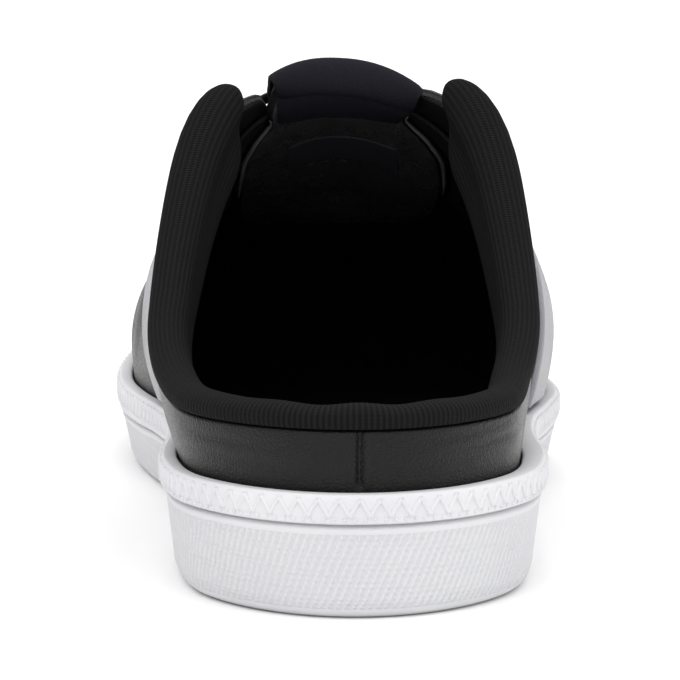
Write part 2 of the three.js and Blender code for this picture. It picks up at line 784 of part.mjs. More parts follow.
function collar() {
  const from = 2 * Math.PI - turnAt(collarFront);
  const span = 2 * turnAt(collarFront);
  const ends = rollEnds.map((end) => end * collarEnd);
  const near = collarEnd + 0.7 / collarStations;
  const between = spread(0, 1, collarStations).filter((part) => part > near && part < 1 - near);
  const parts = [...ends, ...between, ...ends.map((part) => 1 - part).reverse()];
  return barBody(parts.map((part) => {
    const close = 1 - Math.min(1, Math.min(part, 1 - part) / collarEnd);
    const scale = leastScale + (1 - leastScale) * Math.sqrt(1 - close ** 2);
    return rollSection((from + span * part) % (2 * Math.PI), scale);
  }));
}

// Crown of the last by plan position, and points a depth below it
function crownHeight(x, y) {
  const turn = turnAt(shareOf(y));
  const side = x >= spinePoint(turn).x ? turn : 2 * Math.PI - turn;
  const share = shareOf(y);
  const flare = heelHalfWidth * read(sections, side <= Math.PI ? 'outer' : 'inner', share);
  const reach = Math.abs(planOffset(side, flare).x - spinePoint(side).x);
  const square = read(sections, 'square', share);
  const low = wallTopAt(share);
  const crest = read(crestRows, 'crest', share);
  const across = Math.min(Math.abs(x - spinePoint(side).x) / reach, 0.999);
  return low + (crest - low) * (1 - across ** square) ** (1 / square);
}

function crownPoint(x, y, depth) {
  const step = 0.5;
  const slopeX = (crownHeight(x + step, y) - crownHeight(x - step, y)) / (2 * step);
  const slopeY = (crownHeight(x, y + step) - crownHeight(x, y - step)) / (2 * step);
  const out = new THREE.Vector3(-slopeX, -slopeY, 1).normalize();
  return new THREE.Vector3(x, y, crownHeight(x, y)).addScaledVector(out, -depth);
}

// Tongue: along runs from its top end to its foot, across from -1 to 1
const tongueY = (along) => tongueTop + (tongueEnd - tongueTop) * along;

function tonguePoint(along, across, depth) {
  const y = tongueY(along);
  const half = tongueWing * read(tongueSide, 'wide', along, 'along');
  const aside = half * across + tongueShift * read(tongueSide, 'lean', along, 'along');
  const gap = throatGap(shareOf(y));
  const open = Math.max(0, 1 - (aside / gap) ** 2) ** 1.5;
  const shut = Math.min(1, Math.max(0, (throatEnd + throatBottom - y) / throatBottom));
  const free = Math.min(1, Math.max(0, (gap - Math.abs(aside)) / tongueEdge));
  const lift = (tongueRise - tongueTilt * across) * read(tongueSide, 'rise', along, 'along') * free;
  const full = tongueEdge + tonguePad * Math.max(0, 1 - across ** 2) ** 0.6;
  const x = aside + heelHalfWidth * read(sections, 'shift', shareOf(y));
  const point = crownPoint(x, y, upperWall + 2 * clearance + depth * full);
  point.z += tonguePuff * open * shut + lift;
  return point;
}

function tongueGrid(alongs, across, depth, away) {
  return alongs.map((along) => across.map((part) => {
    const point = tonguePoint(along, part, depth);
    const lift = tonguePoint(along, part, 0).sub(tonguePoint(along, part, 1)).normalize();
    return point.addScaledVector(lift, away);
  }));
}

const tongueAlongs = [0, 0.04, 0.1, 0.17, 0.25, 0.34, 0.45, 0.57, 0.7, 0.85, 1];
const tongueAcross = [-1, -0.93, -0.78, -0.55, -0.28, 0, 0.28, 0.55, 0.78, 0.93, 1];

function tongue() {
  const face = (depth) => tongueGrid(tongueAlongs, tongueAcross, depth, 0);
  return sheetBody(face(0), face(1));
}

// Tab: a binding folded over the top end of the tongue
function tongueTab() {
  const far = tabDepth / (tongueEnd - tongueTop);
  const alongs = [far, ...tongueAlongs.filter((along) => along < far).reverse()];
  const loop = (away) => {
    const overTop = tongueGrid(alongs, tongueAcross, 0, away);
    const overEnd = [0.15, 0.85].map((depth) => tongueAcross.map((part) => {
      const point = tonguePoint(0, part, depth);
      point.y -= away;
      return point;
    }));
    const underEnd = tongueGrid([...alongs].reverse(), tongueAcross, 1, -away);
    return [...overTop, ...overEnd, ...underEnd];
  };
  return sheetBody(loop(2 * clearance + tabThick), loop(2 * clearance));
}

// Label under the tongue
function tongueLabel() {
  const along = (y) => (y - tongueTop) / (tongueEnd - tongueTop);
  const alongs = spread(along(labelAt - labelHeight / 2), along(labelAt + labelHeight / 2), 2);
  const half = labelWidth / 2 / tongueWing / read(tongueSide, 'wide', along(labelAt), 'along');
  const across = spread(-half, half, 4);
  return sheetBody(tongueGrid(alongs, across, 1, -clearance),
    tongueGrid(alongs, across, 1, -clearance - labelThick));
}

// Gores beside the tongue, inside the quarters
function gore(side) {
  const ys = spread(goreTop, throatEnd, 6);
  const grid = (depth) => ys.map((y) => {
    const along = (y - tongueTop) / (tongueEnd - tongueTop);
    const lean = side * tongueShift * read(tongueSide, 'lean', along, 'along');
    const near = tongueWing * read(tongueSide, 'wide', along, 'along') + lean + 2 * clearance;
    const turn = side > 0 ? turnAt(shareOf(y)) : 2 * Math.PI - turnAt(shareOf(y));
    const from = gapRise(turn, near);
    return spread(0, goreDrop, 4).map((drop) => lastOffset(turn, riseBelow(turn, from, drop), -depth));
  });
  const top = upperWall + 2 * clearance;
  return sheetBody(grid(top), grid(top + goreThick));
}

// Side panels
function sidePanel(side) {
  const grid = (away) => spread(0, 1, 6).map((height) => spread(-0.5, 0.5, 4).map((part) => {
    const middle = panelFootY + (panelHeadY - panelFootY) * height;
    const width = panelFootWidth + (panelHeadWidth - panelFootWidth) * height;
    const share = shareOf(middle + part * width);
    const turn = side > 0 ? turnAt(share) : 2 * Math.PI - turnAt(share);
    const head = riseBelow(turn, rimRise(turn), eyestayWidth + clearance);
    const [rise] = evenRises(turn, riseAbove(turn, panelFootLift), head, [height]);
    return lastOffset(turn, rise, away);
  }));
  return sheetBody(grid(2 * clearance + panelThick), grid(2 * clearance));
}

// Lace bars over the throat, from eyelet to eyelet
const laceLift = (lift) => eyestayStep + clearance + laceThick * lift;

function laceBar(index) {
  const y = laceY(index);
  const share = shareOf(y);
  const side = (sign) => laceStops.map((stop) => {
    const { turn } = eyelet(index, sign);
    const rise = gapRise(turn, throatGap(share) + eyeletInset * (1 - stop.away));
    const ahead = lastPoint(turn + sign * slightTurn, rise).sub(lastPoint(turn - sign * slightTurn, rise));
    return { point: lastOffset(turn, rise, laceLift(stop.lift)), ahead, wide: stop.wide };
  });
  const middle = spread(-0.85, 0.85, 4).map((part) => {
    const x = part * throatGap(share) + heelHalfWidth * read(sections, 'shift', share);
    const ahead = crownPoint(x, y + 1, 0).sub(crownPoint(x, y - 1, 0));
    return { point: crownPoint(x, y, -laceLift(0.5)), ahead, wide: 1 };
  });
  const path = [...side(-1), ...middle, ...side(1).reverse()];
  return barBody(path.map((stop, i) => {
    const before = path[Math.max(i - 1, 0)].point;
    const after = path[Math.min(i + 1, path.length - 1)].point;
    const along = after.clone().sub(before).normalize();
    const across = stop.ahead.normalize().addScaledVector(along, -along.dot(stop.ahead)).normalize();
    const out = along.clone().cross(across);
    const half = laceWidth * stop.wide / 2;
    return laceSection.map(([u, v]) => stop.point.clone().addScaledVector(across, u * half)
      .addScaledVector(out, v * laceThick / 2));
  }));
}

// Colours and finishes
const whiteRubber = { color: 0xf1f1f3, roughness: 0.55, metalness: 0 };
const blackLeather = { color: 0x17171a, roughness: 0.42, metalness: 0 };
const blackKnit = { color: 0x1c1b1c, roughness: 0.9, metalness: 0 };
const navyWeave = { color: 0x24222c, roughness: 0.85, metalness: 0 };
const blackElastic = { color: 0x121214, roughness: 0.8, metalness: 0 };
const blackFoam = { color: 0x1a1a1c, roughness: 0.9, metalness: 0 };
const whiteLeather = { color: 0xe6e6ea, roughness: 0.45, metalness: 0 };
const blackLace = { color: 0x151517, roughness: 0.85, metalness: 0 };

const shoe = new THREE.Group();

function add(name, geometry, finish) {
  const mesh = new THREE.Mesh(geometry, new THREE.MeshStandardMaterial(finish));
  mesh.name = name;
  shoe.add(mesh);
}

add('cup_sole', cupSole(), whiteRubber);
add('insole', insole(), blackFoam);
add('upper', upper(), blackLeather);
add('collar', collar(), blackKnit);
add('tongue', tongue(), blackLeather);
add('tongue_tab', tongueTab(), navyWeave);
add('tongue_label', tongueLabel(), navyWeave);
add('gore_inner', gore(-1), blackElastic);
add('gore_outer', gore(1), blackElastic);
add('side_panel_inner', sidePanel(-1), whiteLeather);
add('side_panel_outer', sidePanel(1), whiteLeather);
for (let index = 0; index < laceCount; index += 1) add(`lace_bar_${index + 1}`, laceBar(index), blackLace);

// The origin is the middle of the footprint's box
const box = new THREE.Box3().setFromObject(shoe);
const middle = box.getCenter(new THREE.Vector3());
shoe.position.set(-middle.x, -middle.y, -box.min.z);

export default shoe;
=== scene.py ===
import math

import bmesh
import bpy
import numpy as np
from mathutils import Matrix, Vector


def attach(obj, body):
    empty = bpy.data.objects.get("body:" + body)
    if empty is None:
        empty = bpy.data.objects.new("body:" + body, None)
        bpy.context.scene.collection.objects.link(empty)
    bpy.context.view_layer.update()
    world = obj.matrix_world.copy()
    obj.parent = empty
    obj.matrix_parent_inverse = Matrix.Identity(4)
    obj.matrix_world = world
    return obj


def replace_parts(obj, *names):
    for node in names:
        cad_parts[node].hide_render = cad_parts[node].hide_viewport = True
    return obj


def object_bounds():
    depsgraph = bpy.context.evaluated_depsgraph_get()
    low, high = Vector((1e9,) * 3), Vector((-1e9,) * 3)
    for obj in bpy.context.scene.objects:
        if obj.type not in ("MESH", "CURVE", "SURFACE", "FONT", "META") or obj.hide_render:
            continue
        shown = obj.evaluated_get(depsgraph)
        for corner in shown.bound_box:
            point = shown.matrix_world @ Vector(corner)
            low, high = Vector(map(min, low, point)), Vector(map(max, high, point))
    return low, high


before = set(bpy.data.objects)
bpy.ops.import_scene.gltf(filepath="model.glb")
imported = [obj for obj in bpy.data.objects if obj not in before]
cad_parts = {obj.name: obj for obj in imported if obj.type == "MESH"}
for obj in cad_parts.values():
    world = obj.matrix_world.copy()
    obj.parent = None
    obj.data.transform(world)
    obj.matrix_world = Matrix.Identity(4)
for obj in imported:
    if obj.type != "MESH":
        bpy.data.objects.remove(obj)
cad_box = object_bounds()
scene = bpy.context.scene
METRE = 1000.0


# Tables with named columns
def table(names, *rows):
    return dict(zip(names.split(), np.array(rows, float).T))


# Sizes of the sole
SHOE_LENGTH = 292
HEEL_HALF = 39.5
BALL_INNER = 50
BALL_OUTER = 55.5
HEEL_RADIUS = 31
TOE_RADIUS = 23
TOE_TURN = 8.5
WALL_HEIGHT = 26.2
TOE_SPRING = 8
ARCH_LIFT = 1.6
BAND_HEIGHT = 6.6
BAND_PROUD = 0.9
GROOVE_DEPTH = 1.1
EDGE_ROUND = 4.2
WALL_TAPER = 1.6
LIP_WIDTH = 3.2
LIP_ROUND = 0.7
HEEL_BED = 16
BALL_BED = 9.5
RELIEF_DROP = 1.0
RELIEF_HEIGHT = 3.4
RELIEF_PROUD = 0.8
RELIEF_TEETH = 160
DOT_DROP = 5.15
DOT_RADIUS = 0.45
RIDGE_RADIUS = 0.5
RIDGE_SOFT = 0.6
RIDGE_SWELL = 0.2
DOT_SUNK = 0.1
BAND_FULL = 0.3
TREAD_DEPTH = 1.5
TREAD_GROOVE = 3.4
TREAD_MARGIN = 9
FINE_TREAD_DEPTH = 0.7
FINE_TREAD_GROOVE = 1.2

# Sizes of the last and the upper
INSTEP_HEIGHT = 91
TOE_HEIGHT = 49
HEEL_RIM = 38.3
LOBE_RIM = 92
LOBE_AT = 0.402
THROAT_TOP = 18.2
THROAT_BOTTOM = 13
THROAT_END = 187
BACK_SPINE = 70
SPINE_SOFT = 12
BELLY_RISE = 0.3
UPPER_WALL = 2
SEAM_DEPTH = 0.8
SEAM_WIDTH = 0.75
SEAM_RIDGE = 0.28
SEAM_RIDGE_AT = 1.7
SEAM_RIDGE_WIDTH = 0.55
SKIRT_LIFT = 2.4
EYESTAY_WIDTH = 17
EYESTAY_STEP = 1
EYESTAY_FROM = 0.41
CLEARANCE = 0.3

# Sizes of the smaller pieces
INSOLE_HEEL = 7
INSOLE_BALL = 4.2
INSOLE_CUP = 2.4
INSOLE_GAP = 0.5
INSOLE_ROUND = 1.4
COLLAR_THICK = 8
COLLAR_HIGH = 4.8
COLLAR_DROP = 11
COLLAR_FRONT = 0.397
COLLAR_END = 0.026
COLLAR_WAVE = 0.35
COLLAR_WAVE_LENGTH = 3.4
COLLAR_WAVE_REACH = 24
TONGUE_WING = 26.5
TONGUE_EDGE = 2.2
TONGUE_PAD = 3.2
TONGUE_PUFF = 1.7
TONGUE_TOP = 123.5
TONGUE_END = 206
TONGUE_RISE = 1.5
TONGUE_SHIFT = 1.9
TONGUE_TILT = 0.75
TONGUE_SPREAD = 0.075
RIM_SHARE = 0.05
TONGUE_TUCK = 2.2
TAB_DEPTH = 8.5
TAB_THICK = 0.9
TAB_GAP = 0.2
TAB_BULGE = 1.7
LABEL_WIDTH = 30
LABEL_HEIGHT = 13
LABEL_THICK = 0.5
LABEL_AT = 158
GORE_TOP = 132.5
GORE_THICK = 0.9
GORE_DROP = 15
PANEL_THICK = 0.9
PANEL_FOOT_Y = 138
PANEL_FOOT_WIDTH = 24
PANEL_FOOT_LIFT = 2
PANEL_HEAD_Y = 196
PANEL_HEAD_WIDTH = 26
PANEL_SEAM = 1.8
STITCH_LIFT = 0.05
STITCH_THICK = 0.55
LACE_COUNT = 5
LACE_FIRST = 137
LACE_PITCH = 12.5
LACE_WIDTH = 7
LACE_THICK = 1.4
EYELET_DIAMETER = 4
EYELET_INSET = 7.5

# The same tables as the solids follow
HEEL_PLAN = table("at inner outer", (0.08, 0.848, 0.875), (0.17, 1.0, 1.045), (0.3, 0.975, 1.07))
BALL_PLAN = table(
    "at inner outer",
    (0.42, 0.76, 0.811),
    (0.52, 0.83, 0.91),
    (0.6, 0.93, 0.982),
    (0.68, 1.0, 0.982),
    (0.76, 1.0, 0.91),
    (0.85, 0.92, 0.73),
    (0.92, 0.76, 0.486),
)
SOLE_SIDE = table(
    "at spring arch wall band bed",
    (0.0, 0.0, 0.0, 1.0, 1.0, 0.0),
    (0.16, 0.0, 0.0, 0.985, 1.0, 0.02),
    (0.3, 0.0, 0.0, 0.935, 1.04, 0.25),
    (0.42, 0.0, 1.0, 0.875, 1.08, 0.62),
    (0.54, 0.0, 0.0, 0.82, 1.12, 0.92),
    (0.66, 0.0, 0.0, 0.795, 1.16, 1.0),
    (0.74, 0.0, 0.0, 0.81, 1.18, 1.0),
    (0.85, 0.22, 0.0, 0.88, 1.2, 0.85),
    (1.0, 1.0, 0.0, 1.08, 1.2, 0.1),
)
INSTEP_CREST = (
    (0.0, 1.15),
    (0.24, 1.23),
    (0.345, 1.225),
    (0.39, 1.18),
    (0.435, 1.1),
    (0.514, 1.0),
    (0.6, 0.865),
    (0.685, 0.75),
)
TOE_CREST = ((0.79, 1.16), (0.925, 1.0), (1.0, 0.9))
CREST = table(
    "at crest",
    *[(at, share * INSTEP_HEIGHT) for at, share in INSTEP_CREST],
    *[(at, share * TOE_HEIGHT) for at, share in TOE_CREST],
)
SECTIONS = table(
    "at inner outer lip square shift",
    (0.0, -0.045, -0.045, 0.0, 2.6, 0),
    (0.08, -0.01, -0.08, 0.02, 2.6, 0),
    (0.16, 0.03, -0.09, 0.04, 2.6, 0),
    (0.25, 0.06, -0.03, 0.05, 2.6, 0),
    (0.34, 0.045, -0.03, 0.035, 2.6, 0),
    (0.42, 0.035, -0.03, 0.025, 2.5, 0),
    (0.52, -0.005, -0.045, 0.01, 2.35, 0.025),
    (0.6, -0.06, -0.045, 0.0, 2.3, 0.04),
    (0.68, -0.07, -0.04, 0.0, 2.35, 0.04),
    (0.8, -0.05, -0.04, 0.0, 2.8, 0.04),
    (0.92, -0.04, -0.035, 0.0, 3.8, 0.04),
    (1.0, -0.035, -0.035, 0.0, 4.4, 0.04),
)
RIM_SIDE = table(
    "at up",
    (0.0, 0.0),
    (0.1, 0.0),
    (0.15, 0.03),
    (0.195, 0.1),
    (0.24, 0.22),
    (0.29, 0.42),
    (0.342, 0.71),
    (0.38, 0.93),
    (0.402, 1.0),
)
THROAT_SIDE = table(
    "at top bottom",
    (0.402, 1.68, 0),
    (0.412, 1.4, 0),
    (0.424, 1.12, 0),
    (0.436, 0.98, 0),
    (0.53, 0.45, 0.55),
    (0.64, 0.0, 1.0),
    (1.0, 0.0, 1.0),
)
ROLL_SIDE = table(
    "at thick inner outer proud",
    (0.0, 0.95, 0.95, 0.95, 0.0),
    (0.14, 1.0, 1.0, 1.0, 0.0),
    (0.24, 1.07, 1.22, 1.22, 0.08),
    (0.31, 1.2, 1.6, 1.6, 0.18),
    (0.36, 1.38, 2.15, 2.3, 0.28),
    (0.4, 1.58, 2.95, 3.4, 0.36),
)
ROLL_TOP = ((0.02, 0), (0.11, 0.3), (0.06, 0.68), (-0.16, 0.94), (-0.5, 1.0), (-0.8, 0.74), (-0.94, 0.25))
ROLL_INSIDE = ((0.9, 0.3), (0.55, 0.75))
TONGUE_SIDE = table(
    "along wide rise lean",
    (0.0, 0.665, 1.0, 1.0),
    (0.04, 0.635, 0.7, 0.45),
    (0.08, 0.61, 0.4, 0.1),
    (0.15, 0.61, 0.1, 0.0),
    (0.24, 0.86, 0.02, 0.3),
    (0.35, 1.0, 0.0, 0.6),
    (0.8, 1.0, 0.0, 0.3),
    (1.0, 0.86, 0.0, 0.0),
)

# Cross grooves of the tread, as shares of the length
TREAD_SHARES = ((0.08, 0.13, 0.18, 0.23), (0.56, 0.605, 0.65, 0.695, 0.74, 0.785))


def read(rows, name, at, by="at"):
    xs = rows[by]
    ys = rows[name]
    slope = np.gradient(ys)
    slope[1:-1] = (ys[2:] - ys[:-2]) / (xs[2:] - xs[:-2])
    slope[0] = (ys[1] - ys[0]) / (xs[1] - xs[0])
    slope[-1] = (ys[-1] - ys[-2]) / (xs[-1] - xs[-2])
    at = np.clip(at, xs[0], xs[-1])
    i = np.clip(np.searchsorted(xs, at, side="right") - 1, 0, len(xs) - 2)
    span = xs[i + 1] - xs[i]
    t = (at - xs[i]) / span
    start = (2 * t**3 - 3 * t**2 + 1) * ys[i] + (t**3 - 2 * t**2 + t) * span * slope[i]
    end = (3 * t**2 - 2 * t**3) * ys[i + 1] + (t**3 - t**2) * span * slope[i + 1]
    return start + end


def read_side(rows, turn, share):
    """The outer column on the outer side of the foot, the inner one on the inner side"""
    return np.where(turn <= np.pi, read(rows, "outer", share), read(rows, "inner", share))


# Plan of the sole: the turn is 0 at the heel and half a circle at the toe, outer side first. A side
# is 1 on the outer and -1 on the inner side of the foot.
def on_side(turn, side):
    return turn if side > 0 else 2 * np.pi - turn


def half_turn(turn):
    return np.where(turn <= np.pi, turn, 2 * np.pi - turn)


def share_at(turn):
    return (1 - np.cos(turn)) / 2


def turn_at(share):
    return np.arccos(1 - 2 * np.asarray(share, float))


def plan_table():
    rows = [(0, math.sqrt(HEEL_RADIUS * SHOE_LENGTH / 2), 0)]
    parts = ((HEEL_PLAN, HEEL_HALF, HEEL_HALF), (BALL_PLAN, BALL_INNER, BALL_OUTER))
    for plan, inner_size, outer_size in parts:
        for at, inner, outer in zip(plan["at"], plan["inner"] * inner_size, plan["outer"] * outer_size):
            half = float(turn_at(at))
            rows.append((half, (inner + outer) / 2 / math.sin(half), (outer - inner) / 2))
    rows.append((math.pi, math.sqrt(TOE_RADIUS * SHOE_LENGTH / 2), -TOE_TURN))
    return table("half swell centre", *rows)


PLAN = plan_table()


def unit(vectors):
    return vectors / np.linalg.norm(vectors, axis=-1, keepdims=True)


def plan_point(turn):
    half = half_turn(turn)
    x = read(PLAN, "centre", half, "half") + read(PLAN, "swell", half, "half") * np.sin(turn)
    return np.stack([x, SHOE_LENGTH * share_at(half)], -1)


def plan_offset(turn, outward):
    turn = np.asarray(turn, float)
    step = 0.002
    along = unit(plan_point(turn + step) - plan_point(turn - step))
    normal = np.stack([along[..., 1], -along[..., 0]], -1)
    return plan_point(turn) + normal * np.asarray(outward, float)[..., None]


def with_height(plan, height):
    """Points of the plan at one height, or at a height each"""
    return np.concatenate([plan, (np.zeros(len(plan)) + height)[:, None]], 1)


def under_at(share):
    spring = np.maximum(0, read(SOLE_SIDE, "spring", share))
    arch = np.maximum(0, read(SOLE_SIDE, "arch", share))
    return TOE_SPRING * spring + ARCH_LIFT * arch


def wall_top_at(share):
    return WALL_HEIGHT * read(SOLE_SIDE, "wall", share)


def band_at(share):
    return BAND_HEIGHT * read(SOLE_SIDE, "band", share)


def bed_at(share):
    return HEEL_BED + (BALL_BED - HEEL_BED) * read(SOLE_SIDE, "bed", share)


def lip_at(turn):
    lip = HEEL_HALF * read(SECTIONS, "lip", share_at(half_turn(turn)))
    return LIP_WIDTH + np.where(turn < np.pi, lip, 0)


def tuck_at(turn):
    return lip_at(turn) + CLEARANCE


# Surface of the last: the rise is 0 at the sole and 1 at the crest
def soft_least(a, b):
    return (a + b - np.hypot(a - b, SPINE_SOFT)) / 2


def soft_most(a, b):
    return (a + b + np.hypot(a - b, SPINE_SOFT)) / 2


def spine_point(turn):
    y = soft_most(BACK_SPINE, soft_least(plan_point(turn)[..., 1], THROAT_END))
    return np.stack([HEEL_HALF * read(SECTIONS, "shift", y / SHOE_LENGTH), y], -1)


def last_point(turn, rise):
    turn, rise = np.broadcast_arrays(np.asarray(turn, float), np.asarray(rise, float))
    share = share_at(half_turn(turn))
    power = 2 / read(SECTIONS, "square", share)
    inward = np.clip(np.cos(rise * np.pi / 2), 0, 1) ** power
    upward = np.clip(np.sin(rise * np.pi / 2), 0, 1) ** power
    swell = read_side(SECTIONS, turn, share)
    foot = plan_offset(turn, -tuck_at(turn))
    belly = plan_offset(turn, HEEL_HALF * swell)
    plan = spine_point(turn) * (1 - inward[..., None]) + belly * inward[..., None]
    pull = (1 - np.minimum(1, upward / BELLY_RISE)) ** 2
    plan = plan + (foot - belly) * pull[..., None]
    low = wall_top_at(share)
    crest = read(CREST, "crest", plan[..., 1] / SHOE_LENGTH)
    return np.concatenate([plan, (low + (crest - low) * upward)[..., None]], -1)


def last_normal(turn, rise):
    step = 0.01
    low = np.maximum(rise - step, 0.0005)
    high = np.minimum(rise + step, 0.999)
    up = last_point(turn, high) - last_point(turn, low)
    along = last_point(turn + step, rise) - last_point(turn - step, rise)
    return unit(np.cross(along, up))


def last_offset(turn, rise, outward):
    return last_point(turn, rise) + last_normal(turn, rise) * np.asarray(outward, float)[..., None]


def find_rise(grows, goal, low, high):
    a = np.zeros_like(goal) + low
    b = np.zeros_like(goal) + high
    for _ in range(24):
        middle = (a + b) / 2
        short = grows(middle) < goal
        a = np.where(short, middle, a)
        b = np.where(short, b, middle)
    return (a + b) / 2


def throat_gap(share):
    return THROAT_TOP * read(THROAT_SIDE, "top", share) + THROAT_BOTTOM * read(THROAT_SIDE, "bottom", share)


def gap_rise(turn, gap):
    turn, gap = np.broadcast_arrays(np.asarray(turn, float), np.asarray(gap, float))
    spine = spine_point(turn)

    def closeness(rise):
        return -np.linalg.norm(last_point(turn, rise)[..., :2] - spine, axis=-1)

    return find_rise(closeness, -gap, 0.0, 1.0)


def rim_rise(turn):
    turn = np.asarray(turn, float)
    share = share_at(half_turn(turn))
    goal = HEEL_RIM + (LOBE_RIM - HEEL_RIM) * read(RIM_SIDE, "up", share)
    by_height = find_rise(lambda rise: last_point(turn, rise)[..., 2], goal, 0.0, 1.0)
    return np.where(share > LOBE_AT, gap_rise(turn, throat_gap(share)), by_height)


def rise_below(turn, rise, drop):
    turn, rise, drop = np.broadcast_arrays(turn, rise, np.asarray(drop, float))
    start = last_point(turn, rise)

    def nearness(lower):
        return -np.linalg.norm(last_point(turn, lower) - start, axis=-1)

    return find_rise(nearness, -drop, 0.0, rise)


def even_rises(turn, start, end, parts):
    steps = np.linspace(0, 1, 49) ** 1.4
    rises = start[:, None] + (end - start)[:, None] * steps
    lengths = along_rows(last_point(turn[:, None], rises))
    return np.array([np.interp(np.array(parts) * l[-1], l, r) for l, r in zip(lengths, rises)])


def along_rows(points):
    """Length so far along each row of points"""
    steps = np.linalg.norm(np.diff(points, axis=-2), axis=-1)
    zero = np.zeros(steps.shape[:-1] + (1,))
    return np.concatenate([zero, np.cumsum(steps, axis=-1)], -1)


def side_arcs():
    """Turns of one side, and the lengths from the heel to them on the outer and the inner side"""
    fine = np.linspace(0, np.pi, 3001)
    return fine, along_rows(plan_point(fine)), along_rows(plan_point(2 * np.pi - fine))


# Turns that lie evenly along the sole's edge, alike on both sides, from the heel round to it again
def round_turns(count):
    fine, outer, inner = side_arcs()
    length = (outer + inner) / 2
    side = np.interp(np.linspace(0, length[-1], count // 2 + 1), length, fine)
    return np.concatenate([side, (2 * np.pi - side[::-1])[1:]])


def edge_length():
    return along_rows(plan_point(np.linspace(0, 2 * np.pi, 4001)))[-1]


# Place of the shoe in the frame
def shoe_place():
    edge = plan_offset(round_turns(RELIEF_TEETH * 2), RELIEF_PROUD)
    middle = (edge.min(0) + edge.max(0)) / 2
    low, high = (np.array(corner) * METRE for corner in cad_box)
    return np.array([*((low + high) / 2)[:2] - middle, low[2]])


PLACE = shoe_place()


def to_frame(points):
    return (np.asarray(points) + PLACE) / METRE


def place_at(point):
    return Matrix.Translation(Vector(to_frame(point)))


def turn_to(way):
    """The turn that brings the z axis to the way"""
    return way.to_track_quat("Z", "Y").to_matrix().to_4x4()


# Meshes
def chart_of(points):
    along = along_rows(points.transpose(1, 0, 2)).mean(0)
    across = along_rows(points).mean(0)
    return along, across


def make_object(name, bm):
    mesh = bpy.data.meshes.new(name)
    bm.to_mesh(mesh)
    bm.free()
    made = bpy.data.objects.new(name, mesh)
    scene.collection.objects.link(made)
    return made


def finish_mesh(name, bm, finishes, sharp=math.radians(50)):
    piece = make_object(name, bm)
    mesh = piece.data
    for finish in finishes:
        mesh.materials.append(finish)
    mesh.polygons.foreach_set("use_smooth", np.ones(len(mesh.polygons), bool))
    mesh.set_sharp_from_angle(angle=sharp)
    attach(piece, "root")
    return piece


def grid_mesh(points, closed, second_from=None, second_to=math.inf, fill_ends=False):
    """A grid whose corners move to points, (columns, rows, 3) in the shoe's millimetres. Rows from
    second_from to second_to take the second material."""
    columns, rows = points.shape[:2]
    bm = bmesh.new()
    bm.loops.layers.uv.new("fit")
    bmesh.ops.create_grid(bm, x_segments=columns - 1, y_segments=rows - 1, size=0.5, calc_uvs=True)
    mesh = bpy.data.meshes.new("grid")
    bm.to_mesh(mesh)
    bm.free()
    flat = np.empty(len(mesh.vertices) * 3, np.float32)
    mesh.vertices.foreach_get("co", flat)
    grid = flat.reshape(-1, 3)
    i = np.rint((grid[:, 0] + 0.5) * (columns - 1)).astype(int)
    j = np.rint((grid[:, 1] + 0.5) * (rows - 1)).astype(int)
    mesh.vertices.foreach_set("co", to_frame(points)[i, j].astype(np.float32).ravel())
    corner = np.empty(len(mesh.loops), np.int32)
    mesh.loops.foreach_get("vertex_index", corner)
    along, across = chart_of(points)
    chart = np.stack([along[i[corner]], across[j[corner]]], -1) / METRE
    mesh.uv_layers["fit"].data.foreach_set("uv", chart.astype(np.float32).ravel())
    if second_from is not None:
        lowest = j[corner].reshape(-1, 4).min(1)
        second = (lowest >= second_from) & (lowest < second_to)
        mesh.polygons.foreach_set("material_index", second.astype(np.int32))
    bm = bmesh.new()
    bm.from_mesh(mesh)
    bpy.data.meshes.remove(mesh)
    bmesh.ops.remove_doubles(bm, verts=bm.verts, dist=2e-6)
    if fill_ends:
        bmesh.ops.holes_fill(bm, edges=[edge for edge in bm.edges if edge.is_boundary], sides=0)
    if closed:
        bmesh.ops.recalc_face_normals(bm, faces=bm.faces)
    return bm


def cut_away(bm, *pieces):
    """The shapes in bm are taken out of the pieces"""
    punch = make_object("punch", bm)
    for piece in pieces:
        cut = piece.modifiers.new("cut", "BOOLEAN")
        cut.operation = "DIFFERENCE"
        cut.object = punch
        cut.solver = "EXACT"
        bpy.context.view_layer.update()
        view = piece.evaluated_get(bpy.context.evaluated_depsgraph_get())
        cut_mesh = bpy.data.meshes.new_from_object(view)
        piece.modifiers.remove(cut)
        piece.data = cut_mesh
    bpy.data.objects.remove(punch)


def solidify(piece, thickness, offset=-1.0, bevel=0.0):
    wall = piece.modifiers.new("wall", "SOLIDIFY")
    wall.thickness = thickness / METRE
    wall.offset = offset
    if bevel:
        edge = piece.modifiers.new("edge", "BEVEL")
        edge.width = bevel / METRE
        edge.segments = 2
        edge.limit_method = "ANGLE"
        edge.angle_limit = math.radians(50)


def smooth(piece, levels):
    rounder = piece.modifiers.new("rounder", "SUBSURF")
    rounder.levels = levels
    rounder.render_levels = levels


